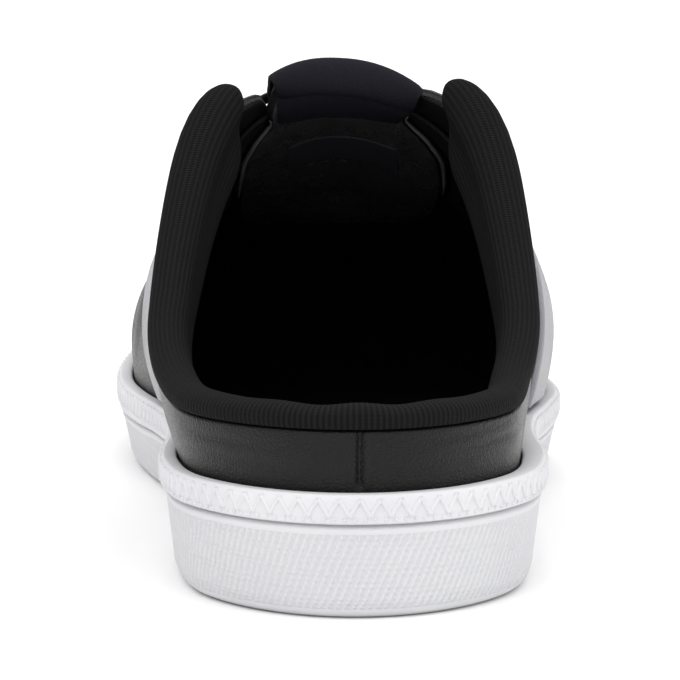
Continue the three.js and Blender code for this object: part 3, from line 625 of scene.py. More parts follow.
# Finishes
class Number:
    """A value that changes over a surface. Sums and products of them add Math nodes."""

    def __init__(self, finish, socket):
        self.finish = finish
        self.socket = socket

    def math(self, operation, *others):
        return self.finish.node("ShaderNodeMath", {"operation": operation}, [self, *others])

    def __add__(self, other):
        return self.math("ADD", other)

    __radd__ = __add__

    def __sub__(self, other):
        return self.math("SUBTRACT", other)

    def __rsub__(self, other):
        return self.finish.node("ShaderNodeMath", {"operation": "SUBTRACT"}, [other, self])

    def __mul__(self, other):
        return self.math("MULTIPLY", other)

    __rmul__ = __mul__

    def wave(self):
        return self.math("SINE")

    def size(self):
        return self.math("ABSOLUTE")

    def step(self, low, high):
        """0 below low, 1 above high, smooth between them"""
        settings = {"interpolation_type": "SMOOTHSTEP"}
        inputs = {"Value": self, "From Min": low, "From Max": high}
        return self.finish.node("ShaderNodeMapRange", settings, inputs)


class Finish:
    """A material on one Principled shader"""

    def __init__(self, name, colour, roughness, **constants):
        self.material = bpy.data.materials.new(name)
        self.material.use_nodes = True
        self.tree = self.material.node_tree
        self.shader = self.tree.nodes["Principled BSDF"]
        self.set("Base Color", (*colour, 1))
        self.set("Roughness", roughness)
        for key, value in constants.items():
            self.set(key.replace("_", " "), value)

    def set(self, name, value):
        if isinstance(value, Number):
            self.tree.links.new(value.socket, self.shader.inputs[name])
        else:
            self.shader.inputs[name].default_value = value

    def node(self, kind, settings=None, inputs=(), output=0):
        made = self.tree.nodes.new(kind)
        for key, value in (settings or {}).items():
            setattr(made, key, value)
        pairs = inputs.items() if isinstance(inputs, dict) else enumerate(inputs)
        for key, value in pairs:
            if isinstance(value, Number):
                self.tree.links.new(value.socket, made.inputs[key])
            else:
                made.inputs[key].default_value = value
        return Number(self, made.outputs[output])

    def place(self):
        """Object coordinates in millimetres"""
        here = self.node("ShaderNodeTexCoord", output="Object")
        return self.node("ShaderNodeVectorMath", {"operation": "MULTIPLY"}, [here, (METRE, METRE, METRE)])

    def chart(self):
        """The piece's own map in millimetres, along and across"""
        here = self.node("ShaderNodeUVMap", {"uv_map": "fit"})
        parts = {"Vector": here}
        along = self.node("ShaderNodeSeparateXYZ", None, parts, output="X")
        across = self.node("ShaderNodeSeparateXYZ", None, parts, output="Y")
        return along * METRE, across * METRE

    def noise(self, place, size, detail=3.0, rough=0.5):
        inputs = {"Vector": place, "Scale": 1 / size, "Detail": detail, "Roughness": rough}
        return self.node("ShaderNodeTexNoise", None, inputs)

    def cells(self, place, size, feature="F1"):
        inputs = {"Vector": place, "Scale": 1 / size}
        return self.node("ShaderNodeTexVoronoi", {"feature": feature}, inputs, output="Distance")

    def mix(self, factor, first, second):
        inputs = {0: factor, 6: (*first, 1) if isinstance(first, tuple) else first}
        inputs[7] = (*second, 1) if isinstance(second, tuple) else second
        settings = {"data_type": "RGBA"}
        return self.node("ShaderNodeMix", settings, inputs, output=2)

    def bump(self, height, depth):
        """height is 0 to 1 over depth millimetres"""
        inputs = {"Height": height, "Distance": depth / METRE, "Strength": 1.0}
        self.set("Normal", self.node("ShaderNodeBump", None, inputs))


def leather(name, colour, light, roughness, grain):
    finish = Finish(name, colour, roughness, Specular_IOR_Level=0.2)
    place = finish.place()
    pebbles = finish.cells(place, grain, "DISTANCE_TO_EDGE").step(0.0, 0.28)
    pores = finish.cells(place, grain * 0.45).step(0.1, 0.5)
    folds = finish.noise(place, 9.0, 4.0, 0.6)
    wear = finish.noise(place, 26.0, 3.0, 0.55).step(0.42, 0.72)
    finish.bump(pebbles * 0.5 + pores * 0.25 + folds * 0.9, 0.14)
    finish.set("Base Color", finish.mix(wear, colour, light))
    finish.set("Roughness", roughness - 0.05 + wear * 0.1 + pebbles * 0.03)
    return finish.material


def waves(length, pitch):
    """Soft waves from 0 to 1 that repeat every pitch millimetres of length"""
    return (length * (2 * math.pi / pitch)).wave() * 0.5 + 0.5


def rubber(name, hatched):
    """White rubber, hatched where it is the sole's wall, with painted shade in the hatch's grooves"""
    colour = (0.67, 0.665, 0.69)
    finish = Finish(name, colour, 0.5, Specular_IOR_Level=0.4)
    place = finish.place()
    mottle = finish.noise(place, 1.6, 4.0, 0.6)
    relief = mottle * 0.1
    broad = finish.noise(place, 34.0, 2.0, 0.5)
    body = finish.mix(broad.step(0.35, 0.7), colour, (0.7, 0.7, 0.715))
    if hatched:
        along, up = finish.chart()
        beads = waves(along * 0.5 + up * 0.86, 0.8)
        hatch = waves(along * 0.86 - up * 0.5, 1.45) * (beads * 0.32 + 0.68)
        relief = relief + hatch * 0.8 + waves(up, 0.9) * 0.2
        # Colour darkened towards grey in the hatch's grooves: painted shade in the recesses
        body = finish.mix((1 - hatch) * 0.4, body, (0.5, 0.5, 0.525))
    finish.bump(relief, 0.34)
    finish.set("Base Color", body)
    finish.set("Roughness", 0.46 + mottle * 0.12)
    return finish.material


def knit(yarn, gap, ribs_at):
    """Knit in slanting rows of small stitches, ribbed near ribs_at along the piece; lighter on the raised
    yarn and darker in the gaps, as painted highlight and painted shade
    """
    finish = Finish("black_knit", yarn, 0.9, Specular_IOR_Level=0.12)
    along, across = finish.chart()
    turn = 2 * math.pi / 1.15
    left = ((along + across * 0.55) * turn).wave()
    right = ((along - across * 0.55) * turn + 1.6).wave()
    mesh = (left * right * 0.5 + 0.5).step(0.15, 0.85)
    near = 1 - (along - ribs_at).size().step(25, 90)
    height = mesh * (1 - near * 0.85) + waves(along, 1.05) * near * 0.85
    fuzz = finish.noise(finish.place(), 0.5, 3.0, 0.7)
    finish.bump(height * 0.75 + fuzz * 0.4, 0.3)
    # Colour follows the stitch height: painted highlight on the raised yarn, painted shade in the gaps
    finish.set("Base Color", finish.mix(height * 0.7 + fuzz * 0.3, gap, yarn))
    return finish.material


def weave(name, warp, weft, pitch):
    finish = Finish(name, warp, 0.85, Specular_IOR_Level=0.15)
    along, across = finish.chart()
    turn = 2 * math.pi / pitch
    threads = ((along * turn).wave() * (across * turn).wave()) * 0.5 + 0.5
    fuzz = finish.noise(finish.place(), 0.6, 3.0, 0.65)
    finish.bump(threads * 0.8 + fuzz * 0.3, 0.16)
    finish.set("Base Color", finish.mix(threads * 0.8 + fuzz * 0.2, weft, warp))
    return finish.material


def elastic():
    finish = Finish("black_elastic", (0.008, 0.008, 0.009), 0.7, Specular_IOR_Level=0.3)
    along, across = finish.chart()
    ribs = waves(along, 1.3)
    finish.bump(ribs * 0.8 + waves(across, 0.5) * 0.2, 0.3)
    finish.set("Base Color", finish.mix(ribs, (0.004, 0.004, 0.005), (0.014, 0.014, 0.016)))
    return finish.material


def thread(name, colour):
    finish = Finish(name, colour, 0.55, Specular_IOR_Level=0.35)
    place = finish.place()
    twist = finish.noise(place, 0.35, 2.0, 0.6)
    finish.bump(twist, 0.08)
    finish.set("Base Color", finish.mix(twist, colour, tuple(c * 1.6 for c in colour)))
    return finish.material


# Section of the groove, inwards and up, as shares of the band's proudness and the groove's depth
GROOVE_SHAPE = (
    (0.689, -1.2),
    (0.578, -0.8),
    (0.733, -0.5),
    (1.333, -0.2),
    (2.111, 0),
    (1.778, 0.2),
    (0.556, 0.42),
)


def sole_points():
    turns = round_turns(RELIEF_TEETH * 8)
    share = share_at(half_turn(turns))
    under = under_at(share)
    top = wall_top_at(share)
    groove = top - band_at(share)
    bed = bed_at(share)
    lip = lip_at(turns)
    foot = BAND_PROUD + WALL_TAPER
    mirrored = 2 * np.pi - turns
    rows = []

    def row(inset, height):
        rows.append(with_height(plan_offset(turns, -inset), height))

    def middle_rows(inset, height, parts):
        edge = plan_offset(turns, -inset)
        facing = plan_offset(mirrored, -(np.zeros_like(turns) + inset)[::-1])
        for part in parts:
            plan = edge + (facing - edge) * part / 2
            if part < 1:
                plan[:, 1] = edge[:, 1]
            rows.append(with_height(plan, height))

    middle_rows(foot + 2 * EDGE_ROUND, under, (1, 0.66, 0.33, 0))
    for angle in np.radians((0, 15, 30, 45, 60, 75, 90)):
        row(foot + EDGE_ROUND * (1 - math.sin(angle)), under + EDGE_ROUND * (1 - math.cos(angle)))
    wall_start = len(rows) - 1
    ridge = groove - 1.6 * GROOVE_DEPTH
    for part in np.linspace(0, 1, 9)[1:]:
        inset = foot + (BAND_PROUD - foot) * part
        row(inset, under + EDGE_ROUND + (ridge - under - EDGE_ROUND) * part)
    wall_end = len(rows) - 1
    for inset, up in GROOVE_SHAPE:
        row(BAND_PROUD * inset, groove + GROOVE_DEPTH * up)
    arc = np.arange(len(turns)) / 8
    band_low = groove + 0.6 * GROOVE_DEPTH
    band_high = top - LIP_ROUND
    pitch = edge_length() / RELIEF_TEETH
    steep = pitch / 2 / math.hypot(pitch / 2, RELIEF_HEIGHT)
    for part in np.linspace(0, 1, 19):
        height = band_low + (band_high - band_low) * part
        zigzag = np.abs((arc % 1) * 2 - 1) * RELIEF_HEIGHT
        away = np.abs(height - (top - RELIEF_DROP - RELIEF_HEIGHT) - zigzag) * steep
        ridges = np.exp(-((away / RIDGE_SOFT) ** 2))
        inside = np.clip((height - (top - RELIEF_DROP - RELIEF_HEIGHT - 0.25)) / 0.4, 0, 1)
        ridges = ridges * inside * np.clip((top - RELIEF_DROP + 0.3 - height) / 0.4, 0, 1)
        full = math.sin(math.pi * part) ** 0.5 if 0 < part < 1 else 0
        row(-BAND_FULL * full - RIDGE_SWELL * ridges, height)
    for angle in np.radians((30, 60, 90)):
        row(LIP_ROUND * (1 - math.cos(angle)), top - LIP_ROUND + LIP_ROUND * math.sin(angle))
    row(lip / 2, top)
    row(lip - LIP_ROUND, top)
    row(lip - LIP_ROUND * 0.3, top - LIP_ROUND * 0.3)
    row(lip, top - LIP_ROUND)
    row(lip, (top + bed) / 2)
    row(lip, bed + LIP_ROUND)
    middle_rows(lip + LIP_ROUND, bed, (0, 0.5, 1))
    return np.array(rows).transpose(1, 0, 2), wall_start, wall_end


def make_sole():
    """Body of the sole, hatched from its lower round to the groove, with the tread and the relief"""
    points, wall_start, wall_end = sole_points()
    plain = rubber("white_rubber", 0)
    finishes = [plain, rubber("hatched_rubber", 1)]
    bm = grid_mesh(points, True, wall_start - 2, wall_end)
    piece = finish_mesh("sole", bm, finishes, math.radians(60))
    cut_tread(piece)
    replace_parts(piece, "cup_sole")
    make_relief(plain)


def cut_tread(piece):
    """Main grooves as in the solid, with a fine one halfway between each two"""
    bm = bmesh.new()
    for group in TREAD_SHARES:
        main = [(share, TREAD_GROOVE, TREAD_DEPTH) for share in group]
        halfway = [((a + b) / 2, FINE_TREAD_GROOVE, FINE_TREAD_DEPTH) for a, b in zip(group, group[1:])]
        for share, wide, depth in main + halfway:
            turn = turn_at(share)
            outer = plan_point(turn)
            inner = plan_point(2 * np.pi - turn)
            long = float(outer[0] - inner[0]) - 2 * TREAD_MARGIN
            middle = ((outer[0] + inner[0]) / 2, outer[1], float(under_at(share)) - depth)
            size = Matrix.Diagonal((long / METRE, wide / METRE, 4 * depth / METRE, 1))
            bmesh.ops.create_cube(bm, size=1, matrix=place_at(middle) @ size)
    cut_away(bm, piece)


def band_frame(turn, height):
    """Place on the swollen band and the way out of it"""
    normal = unit(plan_offset(turn, 1) - plan_offset(turn, 0))
    return Vector((*plan_offset(turn, BAND_FULL), height)), Vector((*normal, 0.0))


def edge_turn(arc):
    """Turn at a distance along the sole's edge from the heel's middle, outer side first"""
    fine = np.linspace(0, 2 * np.pi, 6001)
    return float(np.interp(arc % edge_length(), along_rows(plan_point(fine)), fine))


def make_relief(finish):
    """Zigzag ridges round the band, with a row of dots under them"""
    bm = bmesh.new()
    pitch = edge_length() / RELIEF_TEETH
    for k in range(2 * RELIEF_TEETH):
        ends = []
        for step in (k, k + 1):
            turn = edge_turn(pitch * step / 2)
            top = float(wall_top_at(share_at(half_turn(turn)))) - RELIEF_DROP
            drop = 0 if step % 2 == 0 else RELIEF_HEIGHT
            ends.append(band_frame(turn, top - drop))
        start, end = ends[0][0], ends[1][0]
        ridge = end - start
        place = place_at((start + end) / 2) @ turn_to(ridge)
        bmesh.ops.create_cone(bm, cap_ends=True, segments=8, radius1=RIDGE_RADIUS / METRE,
                              radius2=RIDGE_RADIUS / METRE, depth=ridge.length / METRE, matrix=place)
        turn = edge_turn(pitch * (k + 0.5) / 2)
        share = share_at(half_turn(turn))
        spot, out = band_frame(turn, float(wall_top_at(share)) - DOT_DROP)
        place = place_at(spot - out * DOT_SUNK)
        bmesh.ops.create_icosphere(bm, subdivisions=2, radius=DOT_RADIUS / METRE, matrix=place)
    finish_mesh("sole_relief", bm, [finish])


# Insole: its raised edge, inwards and up, as shares of the edge's height
CUP_SHAPE = ((0.12, 0.92), (0.45, 1.0), (1.0, 0.86), (1.7, 0.58), (2.6, 0.33), (3.8, 0.12), (5.4, 0))


def make_insole():
    turns = round_turns(320)
    mirrored = 2 * np.pi - turns
    share = share_at(half_turn(turns))
    edge = tuck_at(turns) + UPPER_WALL + INSOLE_GAP
    foot = bed_at(share) + CLEARANCE
    top = bed_at(share) + INSOLE_HEEL + (INSOLE_BALL - INSOLE_HEEL) * read(SOLE_SIDE, "bed", share)
    rows = []

    def row(more, height):
        rows.append(with_height(plan_offset(turns, -(edge + more)), height))

    def middle_row(more, height, part):
        here = plan_offset(turns, -(edge + more))
        facing = plan_offset(mirrored, -(edge[::-1] + more))
        rows.append(with_height(here + (facing - here) * part / 2, height))

    middle_row(INSOLE_ROUND, foot, 1)
    row(INSOLE_ROUND, foot)
    row(0.3, foot + INSOLE_ROUND * 0.4)
    row(0, foot + INSOLE_ROUND)
    row(0, top + INSOLE_CUP * 0.7)
    for inset, up in CUP_SHAPE:
        row(inset * INSOLE_CUP, top + up * INSOLE_CUP)
    for part in (0.25, 0.5, 0.75, 1):
        middle_row(CUP_SHAPE[-1][0] * INSOLE_CUP, top, part)
    finish = weave("insole_textile", (0.02, 0.02, 0.021), (0.006, 0.006, 0.006), 0.8)
    bm = grid_mesh(np.array(rows).transpose(1, 0, 2), True)
    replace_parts(finish_mesh("insole_cover", bm, [finish]), "insole")


# Upper
# Soft creases of the leather: start and end by arc from the heel seam (outer side positive) and
# by height, then width and depth
CREASES = (
    (14, 36.0, 44, 36.6, 0.9, 0.16),
    (20, 33.6, 58, 34.6, 1.0, 0.2),
    (12, 31.4, 50, 31.8, 0.9, 0.15),
    (30, 29.4, 66, 30.4, 1.0, 0.14),
    (-52, 35.2, -20, 34.6, 1.1, 0.12),
    (-44, 31.6, -14, 31.0, 1.1, 0.12),
    (196, 30.0, 214, 54.0, 5.0, 0.45),
    (214, 28.0, 230, 50.0, 5.0, 0.35),
    (-206, 30.0, -222, 56.0, 5.0, 0.45),
    (-224, 28.0, -238, 52.0, 5.0, 0.35),
)

# Height of the ridge beside a crease, as a share of its depth
CREASE_RIDGE = 0.45


def crease_depth(arc, height):
    total = np.zeros(np.broadcast(arc, height).shape)
    for start, low, end, high, width, depth in CREASES:
        span = np.array([end - start, high - low])
        t = ((arc - start) * span[0] + (height - low) * span[1]) / (span @ span)
        near = np.clip(t, 0, 1)
        away = np.hypot(arc - start - near * span[0], height - low - near * span[1])
        fade = np.sin(np.clip(t, 0.02, 0.98) * np.pi) ** 0.6
        trough = np.exp(-((away / width) ** 2))
        ridge = np.exp(-(((away - 2 * width) / width) ** 2))
        total += depth * fade * (trough - CREASE_RIDGE * ridge)
    return total


def signed_arc(turn):
    fine, outer, inner = side_arcs()
    half = half_turn(turn)
    return np.where(turn <= np.pi, np.interp(half, fine, outer), -np.interp(half, fine, inner))


def upper_turns():
    even = round_turns(384)
    close = np.array([*np.arange(0.25, 3.1, 0.25), 3.6, 4.5, 5.6, 7.0]) / 67
    even = even[(even > 0.13) & (even < 2 * np.pi - 0.13)]
    keys = turn_at([0.38, 0.402, 0.407, 0.412, 0.418, 0.424, 0.43])
    extra = np.concatenate([[0], close, keys])
    both = np.concatenate([even, extra, 2 * np.pi - extra])
    return np.unique(np.round(both, 6))


def make_upper(leather_finish, lining):
    turns = upper_turns()
    rim = rim_rise(turns)
    arc = signed_arc(turns)[:, None]
    parts = np.linspace(0, 1, 40)
    rises = even_rises(turns, np.zeros_like(turns), rim, parts)
    grid_turns = turns[:, None]
    outside = last_point(grid_turns, rises)
    out = last_normal(grid_turns, rises)
    groove = SEAM_DEPTH * np.exp(-((arc / SEAM_WIDTH) ** 2))
    groove = groove - SEAM_RIDGE * np.exp(-(((arc - SEAM_RIDGE_AT) / SEAM_RIDGE_WIDTH) ** 2))
    fade = np.clip(parts * 6, 0, 1)[None, :]
    outside = outside - out * ((groove + crease_depth(arc, outside[..., 2])) * fade)[..., None]
    up = unit(outside[:, -1] - outside[:, -2])
    edge = []
    for outward, upward in ((-0.3, 0.35), (-1.0, 0.5), (-1.7, 0.35)):
        edge.append(outside[:, -1] + out[:, -1] * outward + up * upward)
    inside = (last_point(grid_turns, rises) - out * UPPER_WALL)[:, ::-2]
    share = share_at(half_turn(turns))
    height = bed_at(share) + SKIRT_LIFT
    foot = [with_height(plan_offset(turns, -tuck_at(turns) - more), height) for more in (0, UPPER_WALL)]
    rows = [foot[0], *outside.transpose(1, 0, 2), *edge, *inside.transpose(1, 0, 2), foot[1], foot[0]]
    bm = grid_mesh(np.array(rows).transpose(1, 0, 2), True, second_from=len(parts) + 2)
    piece = finish_mesh("upper_leather", bm, [leather_finish, lining])
    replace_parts(piece, "upper")
    return piece


def make_eyestay(leather_finish, edge_highlight_finish):
    first = float(turn_at(EYESTAY_FROM))
    turns = np.linspace(first, 2 * np.pi - first, 260)
    rim = rim_rise(turns)
    foot = rise_below(turns, rim, EYESTAY_WIDTH)
    rises = even_rises(turns, foot, rim, np.linspace(0, 1, 19))
    grid_turns = turns[:, None]
    base = last_point(grid_turns, rises)
    out = last_normal(grid_turns, rises)
    up = unit(base[:, -1] - base[:, -2])
    down = unit(base[:, 0] - base[:, 1])
    step = EYESTAY_STEP
    rows = [base[:, 0] - out[:, 0] * 0.3, base[:, 0] + out[:, 0] * step * 0.45]
    rows.append(base[:, 0] + out[:, 0] * step * 0.85 - down * 0.25)
    rows += [base[:, k] + out[:, k] * step for k in range(1, 18)]
    for outward, upward in ((step, -0.3), (step * 0.8, 0.15), (step * 0.3, 0.4), (-0.4, 0.4)):
        rows.append(base[:, -1] + out[:, -1] * outward + up * upward)
    rows += [base[:, k] - out[:, k] * 0.3 for k in (17, 12, 6, 0)]
    bm = grid_mesh(np.array(rows).transpose(1, 0, 2), True, fill_ends=True)
    # The edge cord takes the lighter finish: a painted highlight line along the eyestay's throat edge
    line = base[:, -1] + out[:, -1] * step * 0.4 + up * 0.35
    cord_along("eyestay_edge", line, 0.5, edge_highlight_finish)
    return finish_mesh("eyestay", bm, [leather_finish])


# Eyelets are cut through the eyestay and the leather
def lace_y(index):
    return LACE_FIRST + LACE_PITCH * index


def eyelet(index, side):
    share = lace_y(index) / SHOE_LENGTH
    turn = on_side(float(turn_at(share)), side)
    return turn, float(gap_rise(turn, throat_gap(share) + EYELET_INSET))


def cut_eyelets(*pieces):
    bm = bmesh.new()
    for index in range(LACE_COUNT):
        for side in (-1, 1):
            turn, rise = eyelet(index, side)
            place = place_at(last_point(turn, rise)) @ turn_to(Vector(last_normal(turn, rise)))
            radius = EYELET_DIAMETER / 2 / METRE
            bmesh.ops.create_cone(bm, cap_ends=True, segments=24, radius1=radius, radius2=radius,
                                  depth=12 / METRE, matrix=place)
    cut_away(bm, *pieces)


# Collar roll
def roll_sections(turns, scale):
    share = share_at(half_turn(turns))
    thick = COLLAR_THICK * read(ROLL_SIDE, "thick", share) * scale
    arc = signed_arc(turns)
    wave = COLLAR_WAVE * np.cos(arc / COLLAR_WAVE_LENGTH) * np.exp(-((arc / COLLAR_WAVE_REACH) ** 2))
    high = COLLAR_HIGH * read_side(ROLL_SIDE, turns, share) * scale + wave
    drop = COLLAR_DROP * scale
    proud = read(ROLL_SIDE, "proud", share) * thick
    back = UPPER_WALL + 3 * CLEARANCE
    foot = 2.5 * CLEARANCE
    rim = rim_rise(turns)
    edge = last_point(turns, rim)
    out = last_normal(turns, rim)
    up = unit(edge - last_point(turns, rise_below(turns, rim, 1)))
    pad = np.maximum(thick - back, 1.5)

    def below(down, inward):
        return last_offset(turns, rise_below(turns, rim, down * drop), -back - inward)

    rows = []
    for outward, upward in ROLL_TOP:
        rows.append(edge + out * (outward * thick + proud)[:, None] + up * (foot + upward * high)[:, None])
    rows += [below(down, inward * pad) for inward, down in ROLL_INSIDE]
    rows += [below(1, 1.2 * scale), below(1, 0 * scale), below(0.5, 0 * scale)]
    rows.append(last_offset(turns, rim, -back) + up * foot)
    return round_rows(np.array(rows).transpose(1, 0, 2), 5)


def round_rows(points, parts):
    """Closed rings with parts points between each two, on a smooth curve through them all"""
    ring = [np.roll(points, -k, axis=1)[:, :, None] for k in (-1, 0, 1, 2)]
    t = (np.arange(parts) / parts)[None, None, :, None]
    before, here, ahead, beyond = ring
    curve = here + (ahead - before) * t / 2
    curve = curve + (before * 2 - here * 5 + ahead * 4 - beyond) * t**2 / 2
    curve = curve + (here * 3 - ahead * 3 + beyond - before) * t**3 / 2
    fine = curve.reshape(len(points), -1, 3)
    return np.concatenate([fine, fine[:, :1]], 1)


def make_collar():
    start = 2 * math.pi - float(turn_at(COLLAR_FRONT))
    span = 2 * float(turn_at(COLLAR_FRONT))
    ends = np.array([0, 0.02, 0.05, 0.1, 0.17, 0.27, 0.4, 0.56, 0.76, 1]) * COLLAR_END
    middle = np.linspace(0, 1, 181)
    middle = middle[(middle > COLLAR_END * 1.25) & (middle < 1 - COLLAR_END * 1.25)]
    parts = np.concatenate([ends, middle, 1 - ends[::-1]])
    close = 1 - np.minimum(1, np.minimum(parts, 1 - parts) / COLLAR_END)
    scale = 0.35 + 0.65 * np.sqrt(1 - close**2)
    points = roll_sections((start + span * parts) % (2 * math.pi), scale)
    heel = float(chart_of(points)[0][-1]) / 2
    # The second colour is the painted shade in the gaps between stitches
    finish = knit((0.013, 0.0125, 0.013), (0.0015, 0.0015, 0.0015), heel)
    piece = finish_mesh("collar_knit", grid_mesh(points, True, fill_ends=True), [finish])
    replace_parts(piece, "collar")


# Tongue and what is on it
def crown_height(x, y):
    share = y / SHOE_LENGTH
    turn = turn_at(share)
    spine = spine_point(turn)[..., 0]
    side = np.where(x >= spine, turn, 2 * np.pi - turn)
    swell = read_side(SECTIONS, side, share)
    reach = np.abs(plan_offset(side, HEEL_HALF * swell)[..., 0] - spine)
    square = read(SECTIONS, "square", share)
    low = wall_top_at(share)
    crest = read(CREST, "crest", share)
    across = np.minimum(np.abs(x - spine) / reach, 0.999)
    return low + (crest - low) * (1 - across**square) ** (1 / square)


def crown_point(x, y, depth):
    step = 0.5
    slope_x = (crown_height(x + step, y) - crown_height(x - step, y)) / (2 * step)
    slope_y = (crown_height(x, y + step) - crown_height(x, y - step)) / (2 * step)
    out = unit(np.stack([-slope_x, -slope_y, np.ones_like(slope_x)], -1))
    return np.stack([x, y, crown_height(x, y)], -1) - out * np.asarray(depth, float)[..., None]


def tongue_point(along, across, depth, spread=0.0):
    along, across = np.broadcast_arrays(np.asarray(along, float), np.asarray(across, float))
    y = TONGUE_TOP + (TONGUE_END - TONGUE_TOP) * along
    half = TONGUE_WING * (read(TONGUE_SIDE, "wide", along, "along") + spread * np.clip(
        (along - 0.01) / 0.04, 0, 1) * np.clip((0.26 - along) / 0.1, 0, 1))
    aside = half * across + TONGUE_SHIFT * read(TONGUE_SIDE, "lean", along, "along")
    gap = throat_gap(y / SHOE_LENGTH)
    is_open = np.maximum(0, 1 - (aside / gap) ** 2) ** 1.5
    shut = np.clip((THROAT_END + THROAT_BOTTOM - y) / THROAT_BOTTOM, 0, 1)
    free = np.clip((gap - np.abs(aside)) / TONGUE_EDGE, 0, 1)
    lift = (TONGUE_RISE - TONGUE_TILT * across) * read(TONGUE_SIDE, "rise", along, "along") * free
    full = TONGUE_EDGE + TONGUE_PAD * np.maximum(0, 1 - across**2) ** 0.6
    x = aside + HEEL_HALF * read(SECTIONS, "shift", y / SHOE_LENGTH)
    point = crown_point(x, y, UPPER_WALL + 2 * CLEARANCE + depth * full)
    point[..., 2] += TONGUE_PUFF * is_open * shut + lift
    point[..., 1] += TONGUE_TUCK * depth * np.clip(1 - along / 0.1, 0, 1) ** 2
    return point


def tongue_grid(alongs, across, depth, away, spread=0.0):
    alongs, across = np.meshgrid(alongs, across, indexing="ij")
    point = tongue_point(alongs, across, depth, spread)
    lift = unit(tongue_point(alongs, across, 0, spread) - tongue_point(alongs, across, 1, spread))
    return point + lift * away


def make_tongue(leather_finish, under_painted_light_finish, edge_highlight_finish):
    alongs = np.concatenate([[0, 0.004, 0.012, 0.024], np.linspace(0.04, 0.98, 72), [0.992, 1]])
    flat = np.linspace(-1 + RIM_SHARE, 1 - RIM_SHARE, 49)
    turns = np.linspace(0, np.pi, 9)[1:-1]

    def rows(across, depth):
        return tongue_grid(alongs, across, depth, 0, TONGUE_SPREAD)

    def rim(side, order):
        return np.concatenate([rows([side * (1 - RIM_SHARE * (1 - math.sin(turn)))],
                                    (1 - math.cos(turn)) / 2) for turn in order], 1)

    over = rows(flat, 0)
    points = np.concatenate([over, rim(1, turns), rows(flat[::-1], 1), rim(-1, turns[::-1]), over[:, :1]], 1)
    crown = points[:1] * 0.5 + points[0].mean(0) * 0.5
    crown[..., 1] -= 0.5
    points = np.concatenate([crown, points])
    # The underside takes the lighter leather copy: painted light in the shade under the tongue
    under_from = len(flat) + len(turns)
    bm = grid_mesh(points, True, under_from, under_from + len(flat), fill_ends=True)
    piece = finish_mesh("tongue_leather_painted_light", bm, [leather_finish, under_painted_light_finish])
    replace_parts(piece, "tongue")
    # Pale edge cords along the tongue's sides paint the highlight lines of its edges
    for side, name in ((-1, "tongue_edge_inner"), (1, "tongue_edge_outer")):
        alongs = np.linspace(0.1, 0.62, 90)
        line = tongue_grid(alongs, [side * (1 - RIM_SHARE * 0.3)], 0.82, 0, TONGUE_SPREAD)[:, 0]
        cord_along(name, line, 0.55, edge_highlight_finish)


def cord_along(name, line, radius, finish):
    """A thin rounded edge along a line of points; in a pale finish it paints a highlight line"""
    along = unit(np.gradient(line, axis=0))
    aside = unit(np.cross(along, [0, 0, 1.0]))
    up = np.cross(aside, along)
    turns = np.linspace(0, 2 * np.pi, 11)
    swell = radius * np.sin(np.linspace(0.12, np.pi - 0.12, len(line))) ** 0.35
    across = aside[:, None] * np.cos(turns)[None, :, None]
    upward = up[:, None] * np.sin(turns)[None, :, None]
    rings = line[:, None] + (across + upward) * swell[:, None, None]
    return finish_mesh(name, grid_mesh(rings, True, fill_ends=True), [finish])


def make_tab():
    far = TAB_DEPTH / (TONGUE_END - TONGUE_TOP)
    alongs = np.linspace(far, 0, 25)
    gap = TAB_GAP
    across = np.linspace(-1, 1, 61)
    over = tongue_grid(alongs, across, 0, gap + TAB_THICK)
    ends = []
    for turn in np.linspace(0, np.pi, 17)[1:-1]:
        row = tongue_grid([0], across, (1 - math.cos(turn)) / 2, (gap + TAB_THICK) * math.cos(turn))
        row[..., 1] -= TAB_BULGE * math.sin(turn)
        ends.append(row)
    under = tongue_grid(alongs[::-1], across, 1, -gap - TAB_THICK)
    points = np.concatenate([over, *ends, under])
    finish = weave("navy_tape", (0.014, 0.0135, 0.02), (0.007, 0.007, 0.011), 0.5)
    bm = grid_mesh(points, False)
    bmesh.ops.reverse_faces(bm, faces=bm.faces)
    piece = finish_mesh("tongue_tab_tape", bm, [finish])
    solidify(piece, TAB_THICK, bevel=0.2)
    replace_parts(piece, "tongue_tab")


def make_label():
    span = TONGUE_END - TONGUE_TOP
    ends = (LABEL_AT + np.array([-0.5, 0.5]) * LABEL_HEIGHT - TONGUE_TOP) / span
    wide = read(TONGUE_SIDE, "wide", (LABEL_AT - TONGUE_TOP) / span, "along")
    half = LABEL_WIDTH / 2 / TONGUE_WING / wide
    points = tongue_grid(np.linspace(*ends, 9), np.linspace(-half, half, 17), 1, -CLEARANCE)
    # The label's colour is lightened to show in the shade under the tongue: painted light
    finish = weave("label_tape", (0.06, 0.058, 0.07), (0.03, 0.029, 0.035), 0.4)
    piece = finish_mesh("tongue_label_tape", grid_mesh(points, False), [finish])
    solidify(piece, LABEL_THICK, bevel=0.12)
    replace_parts(piece, "tongue_label")


def make_gore(side, name, node):
    ys = np.linspace(GORE_TOP, THROAT_END, 40)
    along = (ys - TONGUE_TOP) / (TONGUE_END - TONGUE_TOP)
    lean = side * TONGUE_SHIFT * read(TONGUE_SIDE, "lean", along, "along")
    near = TONGUE_WING * read(TONGUE_SIDE, "wide", along, "along") + lean + 2 * CLEARANCE
    turn = on_side(turn_at(ys / SHOE_LENGTH), side)
    start = gap_rise(turn, near)
    drops = np.linspace(0, GORE_DROP, 13)
    rises = rise_below(turn[:, None], start[:, None], drops[None, :])
    points = last_offset(turn[:, None], rises, -UPPER_WALL - 2 * CLEARANCE)
    piece = finish_mesh(name, grid_mesh(points, False), [elastic()])
    solidify(piece, GORE_THICK, offset=1.0 if side > 0 else -1.0, bevel=0.2)
    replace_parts(piece, node)


